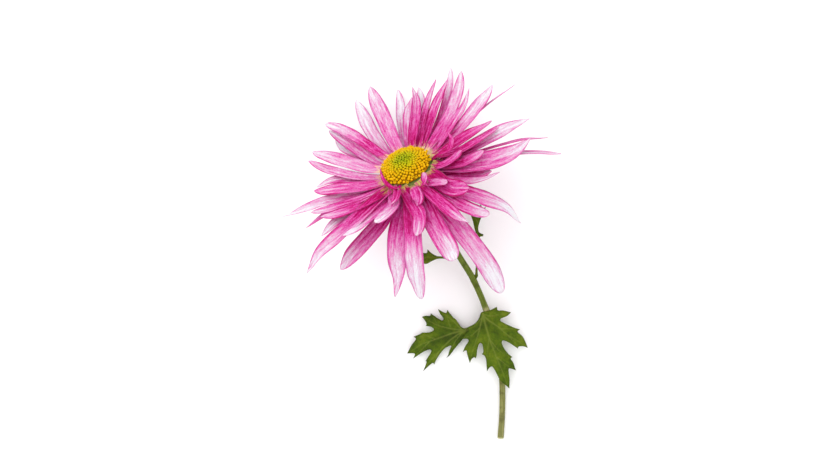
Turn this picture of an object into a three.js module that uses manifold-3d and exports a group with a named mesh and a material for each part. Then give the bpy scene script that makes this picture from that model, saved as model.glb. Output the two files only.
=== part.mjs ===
// A cut chrysanthemum lying on a flat surface: one open flower head on a
// curved stem with two lobed leaves and two small upper leaves.
// Millimetres, +Z up. The pieces are described in a growth frame whose z runs
// out of the face of the laid flower, then turned together onto the surface.
import * as THREE from 'three';
import Module from 'manifold-3d';

// ---------- driving dimensions (mm) ----------
const HEAD_CENTRE = [-1.68, 23.2, 0.0];            // middle of the disc's rim plane
const HEAD_AXIS = [-0.32399, 0.69398, 0.64298];              // way the flower faces
const DISC_PROFILE = [[0, -0.4], [9.7, -0.4], [10.15, -0.1], [10.1, 0.4], [9.3, 1.5], [7.6, 2.8], [5.2, 3.9], [2.6, 4.55], [0, 4.75]];
const FLORET_THICKNESS = 0.44;         // ray floret blade, at mid length
const CHANNEL = 0.12;                  // depth of the blade's trough per half width
const TRIM_GROWTH = 0.3;               // clearance left where one floret is cut clear of another

// half-width of a ray floret along its length, as a share of the widest
const STATIONS = [0, 0.03, 0.12, 0.25, 0.40, 0.55, 0.70, 0.82, 0.91, 0.965, 0.99, 1.0];
const ROUND_TIP = [0.20, 0.26, 0.45, 0.68, 0.86, 0.96, 1.0, 0.97, 0.84, 0.60, 0.34, 0.10];
const OGIVE_TIP = [0.20, 0.26, 0.45, 0.69, 0.88, 0.98, 1.0, 0.91, 0.72, 0.46, 0.24, 0.08];
const POINTED_TIP = [0.20, 0.26, 0.45, 0.70, 0.89, 0.99, 1.0, 0.86, 0.60, 0.33, 0.17, 0.06];

// ray florets: name, midline from the base to the tip, width, roll and twist
// about the midline in degrees, tip ('r' rounded, 'o' ogive, 'p' pointed)
const RAY_FLORETS = [
  ['ray_floret_01', [[1.1, 29.67, -8.23], [1.08, 35.09, -11.76], [1.49, 40.52, -15.2], [2.25, 46.06, -20.6], [2.4, 51.81, -27.81], [0.83, 57.41, -36.41]], 4.4, -35.0, 0.0, 'p'],
  ['ray_floret_02', [[0.28, 28.41, -9.14], [-0.26, 33.15, -12.99], [-0.74, 37.95, -17.23], [-0.89, 42.84, -21.89], [-0.52, 47.79, -27.3], [0.83, 52.67, -33.49]], 4.4, 15.0, 0.0, 'o'],
  ['ray_floret_03', [[2.83, 27.48, -8.73], [3.34, 33.23, -13.7], [3.85, 39.06, -19.14], [4.31, 44.99, -25.05], [4.54, 51.02, -31.4], [3.75, 57.1, -38.23]], 4.4, 3.0, 0.0, 'o'],
  ['ray_floret_04', [[3.19, 28.58, -7.86], [4.06, 34.86, -11.82], [5.19, 41.2, -16.83], [6.62, 47.6, -22.88], [8.5, 53.96, -28.76], [10.93, 60.23, -35.08]], 4.4, 18.0, 0.0, 'p'],
  ['ray_floret_05', [[5.7, 27.01, -6.77], [8.83, 34.12, -11.46], [11.88, 41.47, -18.5], [14.55, 49.09, -25.59], [16.41, 57.11, -33.4], [17.15, 65.46, -41.6]], 4.4, 13.0, 0.0, 'o'],
  ['ray_floret_06', [[4.46, 29.49, -6.34], [6.39, 35.62, -11.57], [8.26, 41.82, -16.28], [10.26, 48.04, -20.69], [12.78, 54.12, -25.16], [15.7, 60.12, -30.06]], 4.55, 0.0, 0.0, 'p'],
  ['ray_floret_07', [[6.27, 28.84, -4.73], [10.45, 35.02, -9.42], [14.35, 41.47, -14.05], [17.69, 48.3, -18.55], [20.0, 55.6, -22.89], [21.2, 63.18, -26.4]], 5.8, 0.0, 0.0, 'o'],
  ['ray_floret_08', [[7.45, 27.04, -4.05], [11.51, 32.18, -6.07], [15.36, 37.49, -7.71], [18.87, 43.17, -11.16], [22.16, 48.9, -15.52], [24.36, 55.9, -21.63]], 4.4, 9.0, 0.0, 'p'],
  ['ray_floret_09', [[8.14, 27.27, -2.08], [14.02, 32.35, -5.9], [19.43, 37.87, -7.37], [24.4, 43.79, -8.43], [29.18, 50.04, -11.27], [33.61, 56.83, -16.78]], 6.67, 0.0, 0.0, 'o'],
  ['ray_floret_10', [[8.84, 25.69, 1.53], [11.92, 28.01, 4.62], [15.39, 29.69, 6.57], [16.53, 33.39, 4.52], [15.18, 37.16, 0.93]], 2.64, 0.0, 0.0, 'p'],
  ['ray_floret_11', [[7.8, 25.75, -5.26], [14.22, 32.64, -9.26], [20.76, 39.48, -12.33], [27.75, 45.74, -13.41], [35.01, 51.36, -10.79], [42.46, 56.22, -5.51]], 4.4, 28.0, 0.0, 'o'],
  ['ray_floret_12', [[8.86, 25.7, -0.03], [13.53, 29.02, -0.62], [18.16, 32.36, -0.5], [22.9, 35.59, -0.9], [27.8, 38.58, -1.42], [32.89, 41.31, -2.52]], 6.47, 0.0, 0.0, 'p'],
  ['ray_floret_13', [[8.54, 27.05, -0.1], [14.41, 27.75, 2.25], [20.08, 29.42, 3.67], [25.22, 32.35, 4.07], [30.31, 35.49, 3.43], [35.55, 38.54, 1.36]], 4.33, 0.0, 0.0, 'p'],
  ['ray_floret_14', [[8.93, 22.77, 1.3], [16.86, 26.82, 0.86], [24.67, 31.14, 1.31], [32.52, 35.42, 1.1], [40.54, 39.33, 1.17], [47.93, 42.3, 1.3]], 6.2, -19.0, 0.0, 'p'],
  ['ray_floret_15', [[8.26, 22.67, 4.5], [11.81, 23.16, 6.02], [15.06, 24.59, 7.64], [17.94, 26.75, 7.6], [20.45, 29.39, 6.6]], 3.78, -7.0, 0.0, 'r'],
  ['ray_floret_16', [[8.2, 21.53, 4.13], [16.58, 23.16, 4.57], [24.93, 24.45, 7.43], [33.31, 25.94, 7.52], [41.27, 29.05, 6.34], [48.16, 34.23, 4.49]], 8.4, -25.0, 0.0, 'p'],
  ['ray_floret_17', [[9.0, 22.33, -0.05], [18.11, 25.68, -0.31], [27.25, 29.02, -0.93], [36.49, 31.88, -0.22], [45.99, 34.08, 0.1], [55.2, 34.56, -0.05]], 4.4, 27.0, 0.0, 'o'],
  ['ray_floret_18', [[8.75, 24.21, 3.08], [13.06, 23.18, 4.9], [17.49, 23.34, 6.95], [21.74, 24.53, 7.96], [25.68, 26.57, 8.48], [29.32, 29.13, 8.48]], 4.98, 0.0, 0.0, 'r'],
  ['ray_floret_19', [[8.67, 20.8, 1.42], [19.05, 23.76, 2.85], [29.45, 26.63, 3.48], [40.06, 28.24, 3.42], [50.87, 28.78, 2.76], [60.51, 28.0, 1.42]], 4.4, 14.0, 0.0, 'o'],
  ['ray_floret_20', [[7.38, 18.5, 3.26], [12.43, 19.06, 4.91], [17.49, 19.57, 5.1], [22.59, 19.62, 4.88], [27.6, 19.91, 6.76], [32.48, 20.99, 9.01]], 5.8, 0.0, 0.0, 'o'],
  ['ray_floret_21', [[6.93, 18.79, 4.58], [12.74, 17.88, 7.06], [18.59, 17.22, 8.21], [24.44, 17.13, 9.38], [30.07, 18.29, 12.81], [35.31, 20.4, 17.42]], 4.4, 4.0, 0.0, 'p'],
  ['ray_floret_22', [[7.39, 21.13, 5.72], [10.16, 18.6, 8.06], [12.95, 16.12, 11.42], [16.23, 14.52, 13.95], [19.87, 14.27, 16.68], [23.49, 14.29, 19.29]], 7.41, -36.0, 0.0, 'o'],
  ['ray_floret_23', [[4.42, 15.11, 12.6], [4.96, 16.18, 14.2], [5.43, 17.58, 15.2], [5.58, 19.07, 15.6], [5.35, 20.49, 15.4]], 2.56, -37.0, 0.0, 'r'],
  ['ray_floret_24', [[5.95, 16.23, 7.2], [8.3, 16.05, 10.9], [10.57, 16.21, 13.0], [12.76, 16.42, 14.0], [14.8, 16.58, 14.3]], 4.53, 0.0, 0.0, 'r'],
  ['ray_floret_25', [[5.51, 17.39, 5.38], [13.92, 15.23, 9.66], [22.09, 12.54, 12.07], [30.27, 9.85, 12.22], [38.24, 6.42, 9.73], [43.74, 0.4, 5.38]], 7.82, 0.0, 0.0, 'p'],
  ['ray_floret_26', [[4.41, 17.31, 6.8], [9.69, 14.24, 9.84], [14.98, 10.76, 13.17], [20.44, 7.59, 15.89], [25.93, 5.34, 16.33], [31.23, 3.81, 16.3]], 6.2, 0.0, 0.0, 'r'],
  ['ray_floret_27', [[2.94, 17.11, 7.81], [6.76, 13.45, 11.28], [10.63, 9.9, 15.62], [14.56, 6.48, 18.47], [18.58, 3.2, 20.0], [23.09, 0.59, 19.77]], 5.55, 0.0, 0.0, 'p'],
  ['ray_floret_28', [[3.49, 15.95, 5.93], [11.22, 8.17, 10.53], [18.26, -0.18, 13.38], [25.07, -8.66, 13.71], [31.27, -17.45, 11.23], [36.56, -27.02, 5.93]], 8.34, 0.0, 0.0, 'r'],
  ['ray_floret_29', [[2.1, 15.94, 7.1], [5.35, 9.79, 10.56], [8.23, 3.17, 13.29], [11.46, -2.84, 15.65], [14.75, -8.61, 16.49], [17.45, -14.11, 15.87]], 8.4, 0.0, 0.0, 'r'],
  ['ray_floret_30', [[1.19, 14.69, 9.0], [2.05, 13.54, 11.8], [2.68, 11.78, 13.7], [2.99, 9.73, 14.2], [3.0, 7.53, 13.2]], 5.6, 14.0, 0.0, 'o'],
  ['ray_floret_31', [[-3.01, 15.0, 7.09], [-0.74, 11.32, 9.43], [1.53, 7.65, 12.93], [3.47, 3.85, 14.45], [3.56, -0.35, 16.26], [2.75, -4.51, 17.41]], 6.08, 0.0, 0.0, 'r'],
  ['ray_floret_32', [[0.02, 15.08, 6.97], [0.41, 6.09, 11.7], [1.19, -2.78, 14.34], [1.61, -11.63, 14.71], [2.62, -20.45, 12.35], [4.37, -29.37, 7.19]], 8.12, 0.0, 0.0, 'r'],
  ['ray_floret_33', [[-1.03, 14.12, 5.62], [-3.11, 5.67, 8.87], [-4.68, -2.83, 10.41], [-5.22, -11.45, 10.13], [-4.78, -20.13, 8.44], [-5.65, -28.83, 5.41]], 8.4, 5.0, 0.0, 'p'],
  ['ray_floret_34', [[-4.98, 14.87, 6.24], [-4.93, 12.92, 9.42], [-5.21, 11.03, 12.62], [-6.19, 9.41, 13.23], [-7.29, 7.88, 13.35]], 3.64, 0.0, 0.0, 'p'],
  ['ray_floret_35', [[-6.81, 15.04, 5.14], [-6.31, 11.43, 8.31], [-6.14, 7.82, 12.14], [-8.17, 5.0, 14.65], [-10.94, 2.78, 16.41], [-13.74, 0.59, 17.02]], 5.4, 3.0, 0.0, 'r'],
  ['ray_floret_36', [[-3.39, 13.79, 4.79], [-7.98, 6.45, 6.69], [-12.35, -0.29, 7.64], [-17.7, -6.47, 7.64], [-23.27, -12.4, 6.7], [-27.26, -18.1, 4.79]], 8.4, 13.0, 0.0, 'o'],
  ['ray_floret_37', [[-4.48, 14.32, 5.53], [-8.34, 9.87, 7.68], [-12.4, 5.65, 11.17], [-16.73, 1.78, 13.35], [-21.44, -1.63, 14.69], [-26.39, -4.73, 13.81]], 5.39, 0.0, 0.0, 'o'],
  ['ray_floret_38', [[-6.58, 14.52, 4.25], [-14.2, 8.27, 7.21], [-21.28, 1.31, 10.2], [-28.69, -5.08, 10.04], [-35.94, -11.68, 8.11], [-40.77, -19.67, 4.25]], 8.4, 2.0, 0.0, 'p'],
  ['ray_floret_39', [[-5.89, 13.54, 1.93], [-12.18, 10.47, 3.06], [-18.44, 7.38, 3.67], [-24.65, 4.18, 3.89], [-30.42, 0.26, 4.07], [-35.23, -4.78, 4.31]], 5.58, 0.0, 0.0, 'o'],
  ['ray_floret_40', [[-7.39, 14.15, 0.52], [-14.46, 11.44, 1.33], [-21.62, 8.92, 1.02], [-28.76, 6.34, 0.59], [-35.55, 3.0, 0.46], [-41.59, -1.6, 0.29]], 4.4, 0.0, 0.0, 'p'],
  ['ray_floret_41', [[-6.89, 14.21, 2.57], [-12.35, 11.33, 4.39], [-17.86, 8.56, 5.34], [-23.5, 6.1, 6.05], [-29.33, 4.1, 6.03], [-35.44, 2.87, 4.09]], 5.61, 0.0, 0.0, 'o'],
  ['ray_floret_42', [[-8.51, 15.19, 2.56], [-14.44, 12.36, 2.94], [-20.51, 9.87, 2.84], [-26.79, 7.91, 2.5], [-33.09, 6.01, 2.18], [-39.55, 4.59, 1.19]], 4.92, 0.0, 0.0, 'o'],
  ['ray_floret_43', [[-8.86, 15.28, 0.42], [-17.15, 12.37, 0.45], [-25.8, 10.76, -1.4], [-34.47, 9.1, -2.84], [-42.68, 5.99, -2.11], [-50.8, 2.88, 0.07]], 6.15, 0.0, 0.0, 'p'],
  ['ray_floret_44', [[-10.34, 16.69, 0.02], [-15.83, 15.48, 0.04], [-21.43, 14.85, -0.72], [-27.09, 14.5, -2.12], [-32.77, 13.89, -4.5], [-38.56, 13.32, -8.62]], 6.63, 0.0, 0.0, 'o'],
  ['ray_floret_45', [[-9.6, 16.98, -3.65], [-15.33, 17.59, -6.24], [-21.1, 18.13, -9.18], [-26.91, 18.46, -11.85], [-32.67, 17.67, -14.14], [-37.85, 15.06, -15.98]], 4.52, 0.0, 0.0, 'o'],
  ['ray_floret_46', [[-3.37, 15.28, 6.9], [-5.75, 14.32, 7.3], [-8.5, 15.46, 5.9], [-10.84, 18.45, 3.3], [-12.09, 22.81, -0.4]], 1.68, 0.0, 0.0, 'p'],
  ['ray_floret_47', [[-10.48, 18.43, -3.8], [-16.8, 18.72, -6.12], [-23.13, 19.58, -9.43], [-29.42, 21.17, -13.88], [-35.71, 23.2, -19.84], [-41.8, 26.15, -26.84]], 4.41, 0.0, 0.0, 'o'],
  ['ray_floret_48', [[-10.85, 21.61, -5.55], [-16.73, 22.5, -8.95], [-22.46, 24.34, -12.86], [-28.25, 26.23, -17.29], [-34.15, 28.03, -22.25], [-40.19, 29.68, -27.71]], 6.3, 0.0, 0.0, 'o'],
  ['ray_floret_49', [[-7.61, 20.99, -8.85], [-12.37, 23.41, -13.02], [-17.19, 25.87, -17.65], [-22.04, 28.41, -22.74], [-26.85, 31.17, -28.29], [-30.92, 35.07, -34.29]], 4.4, -8.0, 0.0, 'o'],
  ['ray_floret_50', [[-8.8, 23.09, -7.98], [-13.99, 25.55, -12.7], [-18.89, 28.67, -17.81], [-23.65, 32.16, -23.29], [-28.48, 35.7, -29.23], [-33.67, 38.86, -35.65]], 5.16, 0.0, 0.0, 'o'],
  ['ray_floret_51', [[-7.95, 25.68, -8.48], [-12.98, 29.25, -13.64], [-18.09, 32.86, -19.16], [-23.31, 36.46, -25.02], [-28.93, 39.55, -31.13], [-34.98, 41.85, -37.48]], 4.85, 0.0, 0.0, 'r'],
  ['ray_floret_52', [[-5.35, 24.79, -9.94], [-9.79, 29.15, -14.85], [-13.45, 34.32, -20.47], [-16.81, 39.81, -26.64], [-19.66, 45.71, -33.39], [-22.38, 51.86, -41.6]], 5.61, 0.0, 0.0, 'o'],
  ['ray_floret_53', [[-3.93, 28.3, -9.29], [-6.56, 33.84, -14.42], [-9.06, 39.52, -19.81], [-11.52, 45.32, -25.49], [-14.28, 51.22, -31.55], [-16.67, 57.3, -38.05]], 6.48, 0.0, 0.0, 'o'],
  ['ray_floret_54', [[-0.95, 26.92, -10.02], [-1.93, 32.64, -16.13], [-2.89, 38.46, -22.46], [-3.57, 44.39, -28.79], [-4.04, 50.4, -34.95], [-5.02, 56.44, -41.2]], 4.4, 10.0, 0.0, 'o'],
];

// stem: centre and radius at each station, from under the disc to the cut end;
// the top swells into the receptacle and the green cup of bracts below the florets
const STEM = [
  [-1.37, 22.54, -0.61, 9.5],
  [-0.66, 21.01, -2.03, 9.0],
  [0.02, 19.56, -3.38, 8.5],
  [0.22, 19.14, -3.76, 8.5],
  [0.31, 18.93, -3.95, 9.2],
  [0.54, 18.45, -4.4, 9.1],
  [0.96, 17.54, -5.24, 8.2],
  [1.48, 16.43, -6.27, 6.3],
  [1.9, 15.53, -7.1, 3.9],
  [2.13, 15.05, -7.56, 2.3],
  [2.49, 14.21, -8.33, 1.5],
  [3.29, 12.07, -10.28, 1.3],
  [4.35, 10.02, -12.19, 1.24],
  [6.18, 7.49, -14.69, 1.2],
  [9.2, 3.88, -18.41, 1.2],
  [12.22, 0.08, -21.94, 1.2],
  [15.0, -4.17, -25.13, 1.2],
  [17.67, -8.66, -28.07, 1.2],
  [21.15, -14.45, -31.33, 1.2],
  [25.01, -20.48, -33.53, 1.24],
  [26.37, -23.06, -34.23, 1.3],
  [28.04, -26.59, -35.06, 1.2],
  [29.18, -29.16, -35.59, 1.2],
  [30.26, -31.76, -36.06, 1.2],
  [30.97, -33.6, -36.36, 1.25],
  [31.66, -35.47, -36.61, 1.36],
  [32.59, -38.3, -36.9, 1.27],
  [34.19, -44.08, -37.21, 1.23],
  [36.45, -53.2, -37.61, 1.22],
  [38.12, -62.44, -37.95, 1.21],
  [38.49, -71.84, -38.12, 1.2],
  [38.26, -81.24, -38.36, 1.2],
  [37.9, -86.23, -38.45, 1.24],
  [37.69, -89.22, -38.5, 1.28],
];

// leaf outlines, with the line of the midrib, the height of the blade, its
// rise along the rib and the droop of its sides
const LEAF_RIGHT = { rib: [[30.31, -36.74], [41.1, -67.88]], lift: -34.6, rise: -0.9, droop: 0.00928, thickness: 0.6, outline: [
  [29.95, -36.17], [32.92, -35.8], [36.07, -34.13], [36.26, -35.8], [38.85, -35.61], [42.0, -36.54], [40.33, -38.2], [37.74, -38.95],
  [37.37, -40.06], [40.33, -41.54], [43.67, -43.02], [45.71, -43.58], [44.41, -44.51], [46.63, -46.18], [47.75, -48.03], [49.04, -51.36],
  [47.38, -50.62], [45.15, -50.62], [44.78, -51.55], [42.93, -50.25], [40.33, -48.58], [38.48, -48.03], [37.92, -48.96], [39.22, -51.74],
  [41.07, -53.96], [42.56, -55.07], [41.63, -55.63], [42.93, -57.3], [43.48, -59.15], [44.04, -60.63], [42.19, -59.89], [40.89, -59.71],
  [41.07, -62.12], [41.44, -64.34], [41.26, -68.23], [39.96, -66.93], [37.37, -64.9], [36.26, -62.49], [35.14, -60.26], [34.03, -58.78],
  [32.92, -59.52], [31.99, -61.0], [31.81, -58.78], [31.62, -55.81], [30.88, -54.33], [29.77, -53.89], [30.51, -53.22], [30.32, -50.99],
  [29.95, -49.51], [29.21, -49.07], [28.47, -49.88], [27.91, -52.11], [27.73, -54.7], [27.36, -55.63], [26.62, -55.07], [25.5, -56.0],
  [24.87, -57.67], [24.21, -55.44], [23.65, -53.59], [23.47, -52.11], [21.98, -53.03], [22.72, -50.99], [23.65, -49.51], [24.39, -48.4],
  [24.21, -47.66], [23.28, -47.47], [21.43, -47.66], [22.54, -46.18], [24.39, -44.14], [24.58, -43.21], [22.35, -43.21], [24.02, -42.65],
  [26.62, -41.36], [28.1, -39.87], [28.84, -38.39], [29.21, -36.91],
] };
const LEAF_LEFT = { rib: [[30.82, -38.53], [-0.83, -53.1]], lift: -37.6, rise: -0.6, droop: 0.00749, thickness: 0.6, outline: [
  [21.49, -42.97], [20.01, -40.74], [19.08, -39.44], [18.15, -38.88], [16.66, -37.02], [15.54, -35.54], [15.17, -37.02], [13.69, -36.47],
  [11.64, -35.17], [12.38, -37.02], [13.5, -38.51], [14.06, -39.26], [13.5, -40.19], [11.83, -39.26], [9.97, -37.95], [8.66, -37.02],
  [8.48, -38.14], [6.62, -37.95], [4.95, -38.51], [6.25, -40.0], [6.99, -41.49], [6.62, -42.23], [8.85, -42.6], [9.97, -43.35],
  [9.78, -44.28], [7.74, -45.02], [4.76, -45.02], [4.39, -45.58], [1.41, -46.77], [2.53, -47.44], [2.16, -48.37], [0.67, -50.04],
  [-0.45, -52.27], [-1.19, -53.76], [0.67, -53.57], [2.34, -53.76], [1.23, -55.99], [3.27, -54.5], [6.25, -52.64], [8.48, -51.9],
  [9.04, -52.83], [7.74, -54.87], [6.43, -56.92], [6.99, -57.11], [6.25, -59.34], [5.32, -61.38], [7.36, -59.34], [9.59, -57.48],
  [10.15, -58.41], [10.71, -56.73], [12.57, -53.76], [14.43, -51.53], [16.66, -50.41], [17.4, -50.6], [16.29, -52.64], [15.92, -54.5],
  [14.99, -55.8], [16.66, -54.5], [18.52, -51.9], [20.01, -50.04], [21.12, -48.92], [21.87, -47.81], [22.91, -46.86], [24.99, -44.98],
  [27.49, -42.69], [31.07, -39.15], [31.07, -37.94], [28.32, -40.61], [25.82, -42.48], [23.74, -43.53],
] };
const UPPER_LEAF_LEFT = { rib: [[18.63, -13.46], [0.41, -13.87]], lift: -32.0, rise: -2.6, droop: 0.02333, thickness: 0.5, outline: [
  [18.22, -13.13], [16.56, -13.54], [13.66, -13.17], [11.18, -13.17], [8.9, -11.88], [7.25, -10.27], [7.04, -12.01], [4.97, -11.59],
  [2.48, -11.18], [3.31, -12.63], [0.41, -13.66], [3.73, -14.49], [1.66, -16.35], [4.55, -15.73], [6.62, -16.6], [8.9, -15.28],
  [11.18, -14.2], [13.66, -14.12], [16.56, -14.53], [18.72, -13.95],
] };
const UPPER_LEAF_RIGHT = { rib: [[27.38, -20.53], [28.62, 10.16]], lift: -33.8, rise: -2.0, droop: 0.02324, thickness: 0.5, outline: [
  [27.75, -22.44], [27.34, -21.45], [27.09, -20.12], [27.21, -18.05], [27.5, -13.9], [27.63, -8.09], [27.71, -4.77], [26.8, -1.87],
  [26.13, 1.45], [25.1, 4.36], [26.55, 4.56], [27.05, 7.26], [28.21, 5.81], [29.45, 8.5], [30.12, 6.43], [31.53, 7.47],
  [30.82, 5.19], [29.2, 2.07], [28.17, -1.62], [28.79, -3.53], [30.49, -4.02], [30.37, -4.85], [28.79, -5.1], [28.58, -8.09],
  [28.42, -13.9], [28.08, -18.05], [28.04, -20.12], [28.33, -21.61],
] };

// how the growth frame is laid down: rotation rows, then the shift
const LAY_ROTATION = [0.999992, 0.000022, 0.003983, 0.000022, 0.999937, -0.011260, -0.003983, 0.011260, 0.999929];
const LAY_SHIFT = [-4.859, 11.478, 40.933];

// florets whose crowded bases are cut clear of a neighbour: [cut, kept]
const CUT_CLEAR = [
  ['ray_floret_41', 'ray_floret_38'],
  ['ray_floret_42', 'ray_floret_41'],
  ['ray_floret_21', 'ray_floret_25'],
  ['ray_floret_09', 'ray_floret_08'],
  ['ray_floret_38', 'ray_floret_37'],
  ['ray_floret_34', 'ray_floret_46'],
  ['ray_floret_31', 'ray_floret_30'],
  ['ray_floret_39', 'ray_floret_40'],
  ['ray_floret_22', 'ray_floret_24'],
  ['ray_floret_26', 'ray_floret_25'],
  ['ray_floret_26', 'ray_floret_24']
];

// ---------- helpers ----------
const lay = new THREE.Matrix4().set(
  LAY_ROTATION[0], LAY_ROTATION[1], LAY_ROTATION[2], LAY_SHIFT[0],
  LAY_ROTATION[3], LAY_ROTATION[4], LAY_ROTATION[5], LAY_SHIFT[1],
  LAY_ROTATION[6], LAY_ROTATION[7], LAY_ROTATION[8], LAY_SHIFT[2],
  0, 0, 0, 1);
const axis = new THREE.Vector3(...HEAD_AXIS).normalize();
const centre = new THREE.Vector3(...HEAD_CENTRE);

function lerpTable(xs, ys, x) {
  for (let i = 1; i < xs.length; i += 1) {
    if (x <= xs[i]) return ys[i - 1] + (ys[i] - ys[i - 1]) * (x - xs[i - 1]) / (xs[i] - xs[i - 1]);
  }
  return ys[ys.length - 1];
}

function signedVolume(geometry) {
  const p = geometry.getAttribute('position');
  const index = geometry.getIndex();
  const count = index ? index.count : p.count;
  const a = new THREE.Vector3(), b = new THREE.Vector3(), c = new THREE.Vector3();
  let v = 0;
  for (let i = 0; i < count; i += 3) {
    const k = (j) => (index ? index.getX(i + j) : i + j);
    a.fromBufferAttribute(p, k(0)); b.fromBufferAttribute(p, k(1)); c.fromBufferAttribute(p, k(2));
    v += a.dot(b.cross(c)) / 6;
  }
  return v;
}

function facingOut(geometry) {
  if (signedVolume(geometry) < 0) {
    const index = geometry.getIndex();
    if (index) {
      for (let i = 0; i < index.count; i += 3) {
        const k = index.getX(i + 1); index.setX(i + 1, index.getX(i + 2)); index.setX(i + 2, k);
      }
    } else {
      const p = geometry.getAttribute('position');
      for (let i = 0; i < p.count; i += 3) {
        const s = [p.getX(i + 1), p.getY(i + 1), p.getZ(i + 1)];
        p.setXYZ(i + 1, p.getX(i + 2), p.getY(i + 2), p.getZ(i + 2));
        p.setXYZ(i + 2, s[0], s[1], s[2]);
      }
    }
  }
  geometry.computeVertexNormals();
  return geometry;
}

// a blade grown along a curve: a sphere drawn out into a thin trough-shaped strip
function floretGeometry([, midline, width, roll, twist, tip], extra = 0) {
  const curve = new THREE.CatmullRomCurve3(midline.map((m) => new THREE.Vector3(...m)), false, 'catmullrom', 0.5);
  const rowsAlong = 10;
  const geometry = new THREE.SphereGeometry(1, 6, rowsAlong);
  const p = geometry.getAttribute('position');
  const shape = { r: ROUND_TIP, o: OGIVE_TIP, p: POINTED_TIP }[tip];
  const length = curve.getLength();
  for (let i = 0; i < p.count; i += 1) {
    const theta = Math.acos(Math.min(1, Math.max(-1, p.getY(i))));
    let t = (1 - Math.cos(theta)) / 2;
    const s = Math.sin(theta);
    const u = s < 1e-6 ? 0 : Math.round(p.getX(i) / s * 1e6) / 1e6;
    const v = s < 1e-6 ? 0 : Math.round(p.getZ(i) / s * 1e6) / 1e6;
    t = Math.round(t * 1e6) / 1e6;
    const at = curve.getPoint(t);
    const tangent = curve.getPoint(Math.min(1, t + 1e-3)).sub(curve.getPoint(Math.max(0, t - 1e-3))).normalize();
    const up = axis.clone().addScaledVector(tangent, -axis.dot(tangent)).normalize();
    const side = new THREE.Vector3().crossVectors(up, tangent);
    let x = Math.min(1, Math.max(0, (t - 0.08) / 0.37)); x = x * x * (3 - 2 * x);
    const angle = THREE.MathUtils.degToRad(roll * x + twist * Math.min(1, Math.max(0, t - 0.45) / 0.55));
    const normal = up.clone().multiplyScalar(Math.cos(angle)).addScaledVector(side, Math.sin(angle));
    const across = side.clone().multiplyScalar(Math.cos(angle)).addScaledVector(up, -Math.sin(angle));
    const half = width / 2 * lerpTable(STATIONS, shape, t);
    const thick = FLORET_THICKNESS * (1.05 - 0.25 * t) / 2 + extra;
    at.addScaledVector(across, (half + extra) * u);
    at.addScaledVector(normal, half * CHANNEL * (u * u - 0.35) + v * thick);
    if (s < 1e-6 && extra > 0) at.addScaledVector(tangent, t < 0.5 ? -extra : extra);
    p.setXYZ(i, at.x, at.y, at.z);
  }
  geometry.userData.length = length;
  return facingOut(geometry);
}

function stemGeometry() {
  const sides = 16;
  const rowsAlong = STEM.length - 1;
  const geometry = new THREE.CylinderGeometry(1, 1, 1, sides, rowsAlong, false);
  const p = geometry.getAttribute('position');
  const mid = STEM.map((s) => new THREE.Vector3(s[0], s[1], s[2]));
  const ref = new THREE.Vector3(0.35, 0.2, 1).normalize();
  for (let i = 0; i < p.count; i += 1) {
    const row = Math.round((0.5 - p.getY(i)) * rowsAlong);
    const tangent = mid[Math.min(rowsAlong, row + 1)].clone().sub(mid[Math.max(0, row - 1)]).normalize();
    if (row <= 9) tangent.copy(axis).multiplyScalar(-1);
    const nx = new THREE.Vector3(1, 0.1, 0).addScaledVector(tangent, -tangent.dot(new THREE.Vector3(1, 0.1, 0))).normalize();
    const ny = new THREE.Vector3().crossVectors(tangent, nx);
    const r = STEM[row][3];
    const a = Math.round(p.getX(i) * 1e6) / 1e6;
    const b = Math.round(p.getZ(i) * 1e6) / 1e6;
    const at = mid[row].clone().addScaledVector(nx, a * r).addScaledVector(ny, b * r);
    p.setXYZ(i, at.x, at.y, at.z);
  }
  return facingOut(geometry);
}

// a lathe turned about the head's axis
function headLathe(profile, segments) {
  const points = profile.map(([r, h]) => new THREE.Vector2(r, h));
  const geometry = new THREE.LatheGeometry(points, segments);
  const turn = new THREE.Quaternion().setFromUnitVectors(new THREE.Vector3(0, 1, 0), axis);
  geometry.applyQuaternion(turn);
  geometry.translate(centre.x, centre.y, centre.z);
  return facingOut(geometry);
}

function leafGeometry({ rib, lift, rise, droop, thickness, outline }) {
  const shape = new THREE.Shape(outline.map(([x, y]) => new THREE.Vector2(x, y)));
  const geometry = new THREE.ExtrudeGeometry(shape, { depth: thickness, bevelEnabled: false, steps: 1 });
  const p = geometry.getAttribute('position');
  const a = new THREE.Vector2(...rib[0]);
  const along = new THREE.Vector2(...rib[1]).sub(a);
  const reach = along.length();
  along.normalize();
  for (let i = 0; i < p.count; i += 1) {
    const dx = p.getX(i) - a.x, dy = p.getY(i) - a.y;
    const s = (dx * along.x + dy * along.y) / reach;
    const d = dx * along.y - dy * along.x;
    p.setZ(i, p.getZ(i) + lift + rise * s - droop * d * d);
  }
  return facingOut(geometry);
}

// ---------- assembly ----------
const wasm = await Module();
wasm.setup();
const { Manifold, Mesh } = wasm;

function toManifold(geometry) {
  const p = geometry.getAttribute('position');
  const index = geometry.getIndex();
  const seen = new Map();
  const vertices = [];
  const remap = [];
  for (let i = 0; i < p.count; i += 1) {
    const key = [p.getX(i), p.getY(i), p.getZ(i)].map((c) => Math.round(c * 1e4)).join();
    if (!seen.has(key)) { seen.set(key, seen.size); vertices.push(p.getX(i), p.getY(i), p.getZ(i)); }
    remap.push(seen.get(key));
  }
  const count = index ? index.count : p.count;
  const triangles = [];
  for (let i = 0; i < count; i += 3) {
    const t = [0, 1, 2].map((j) => remap[index ? index.getX(i + j) : i + j]);
    if (t[0] !== t[1] && t[1] !== t[2] && t[0] !== t[2]) triangles.push(...t);
  }
  return new Manifold(new Mesh({ numProp: 3, vertProperties: Float32Array.from(vertices), triVerts: Uint32Array.from(triangles) }));
}

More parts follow.
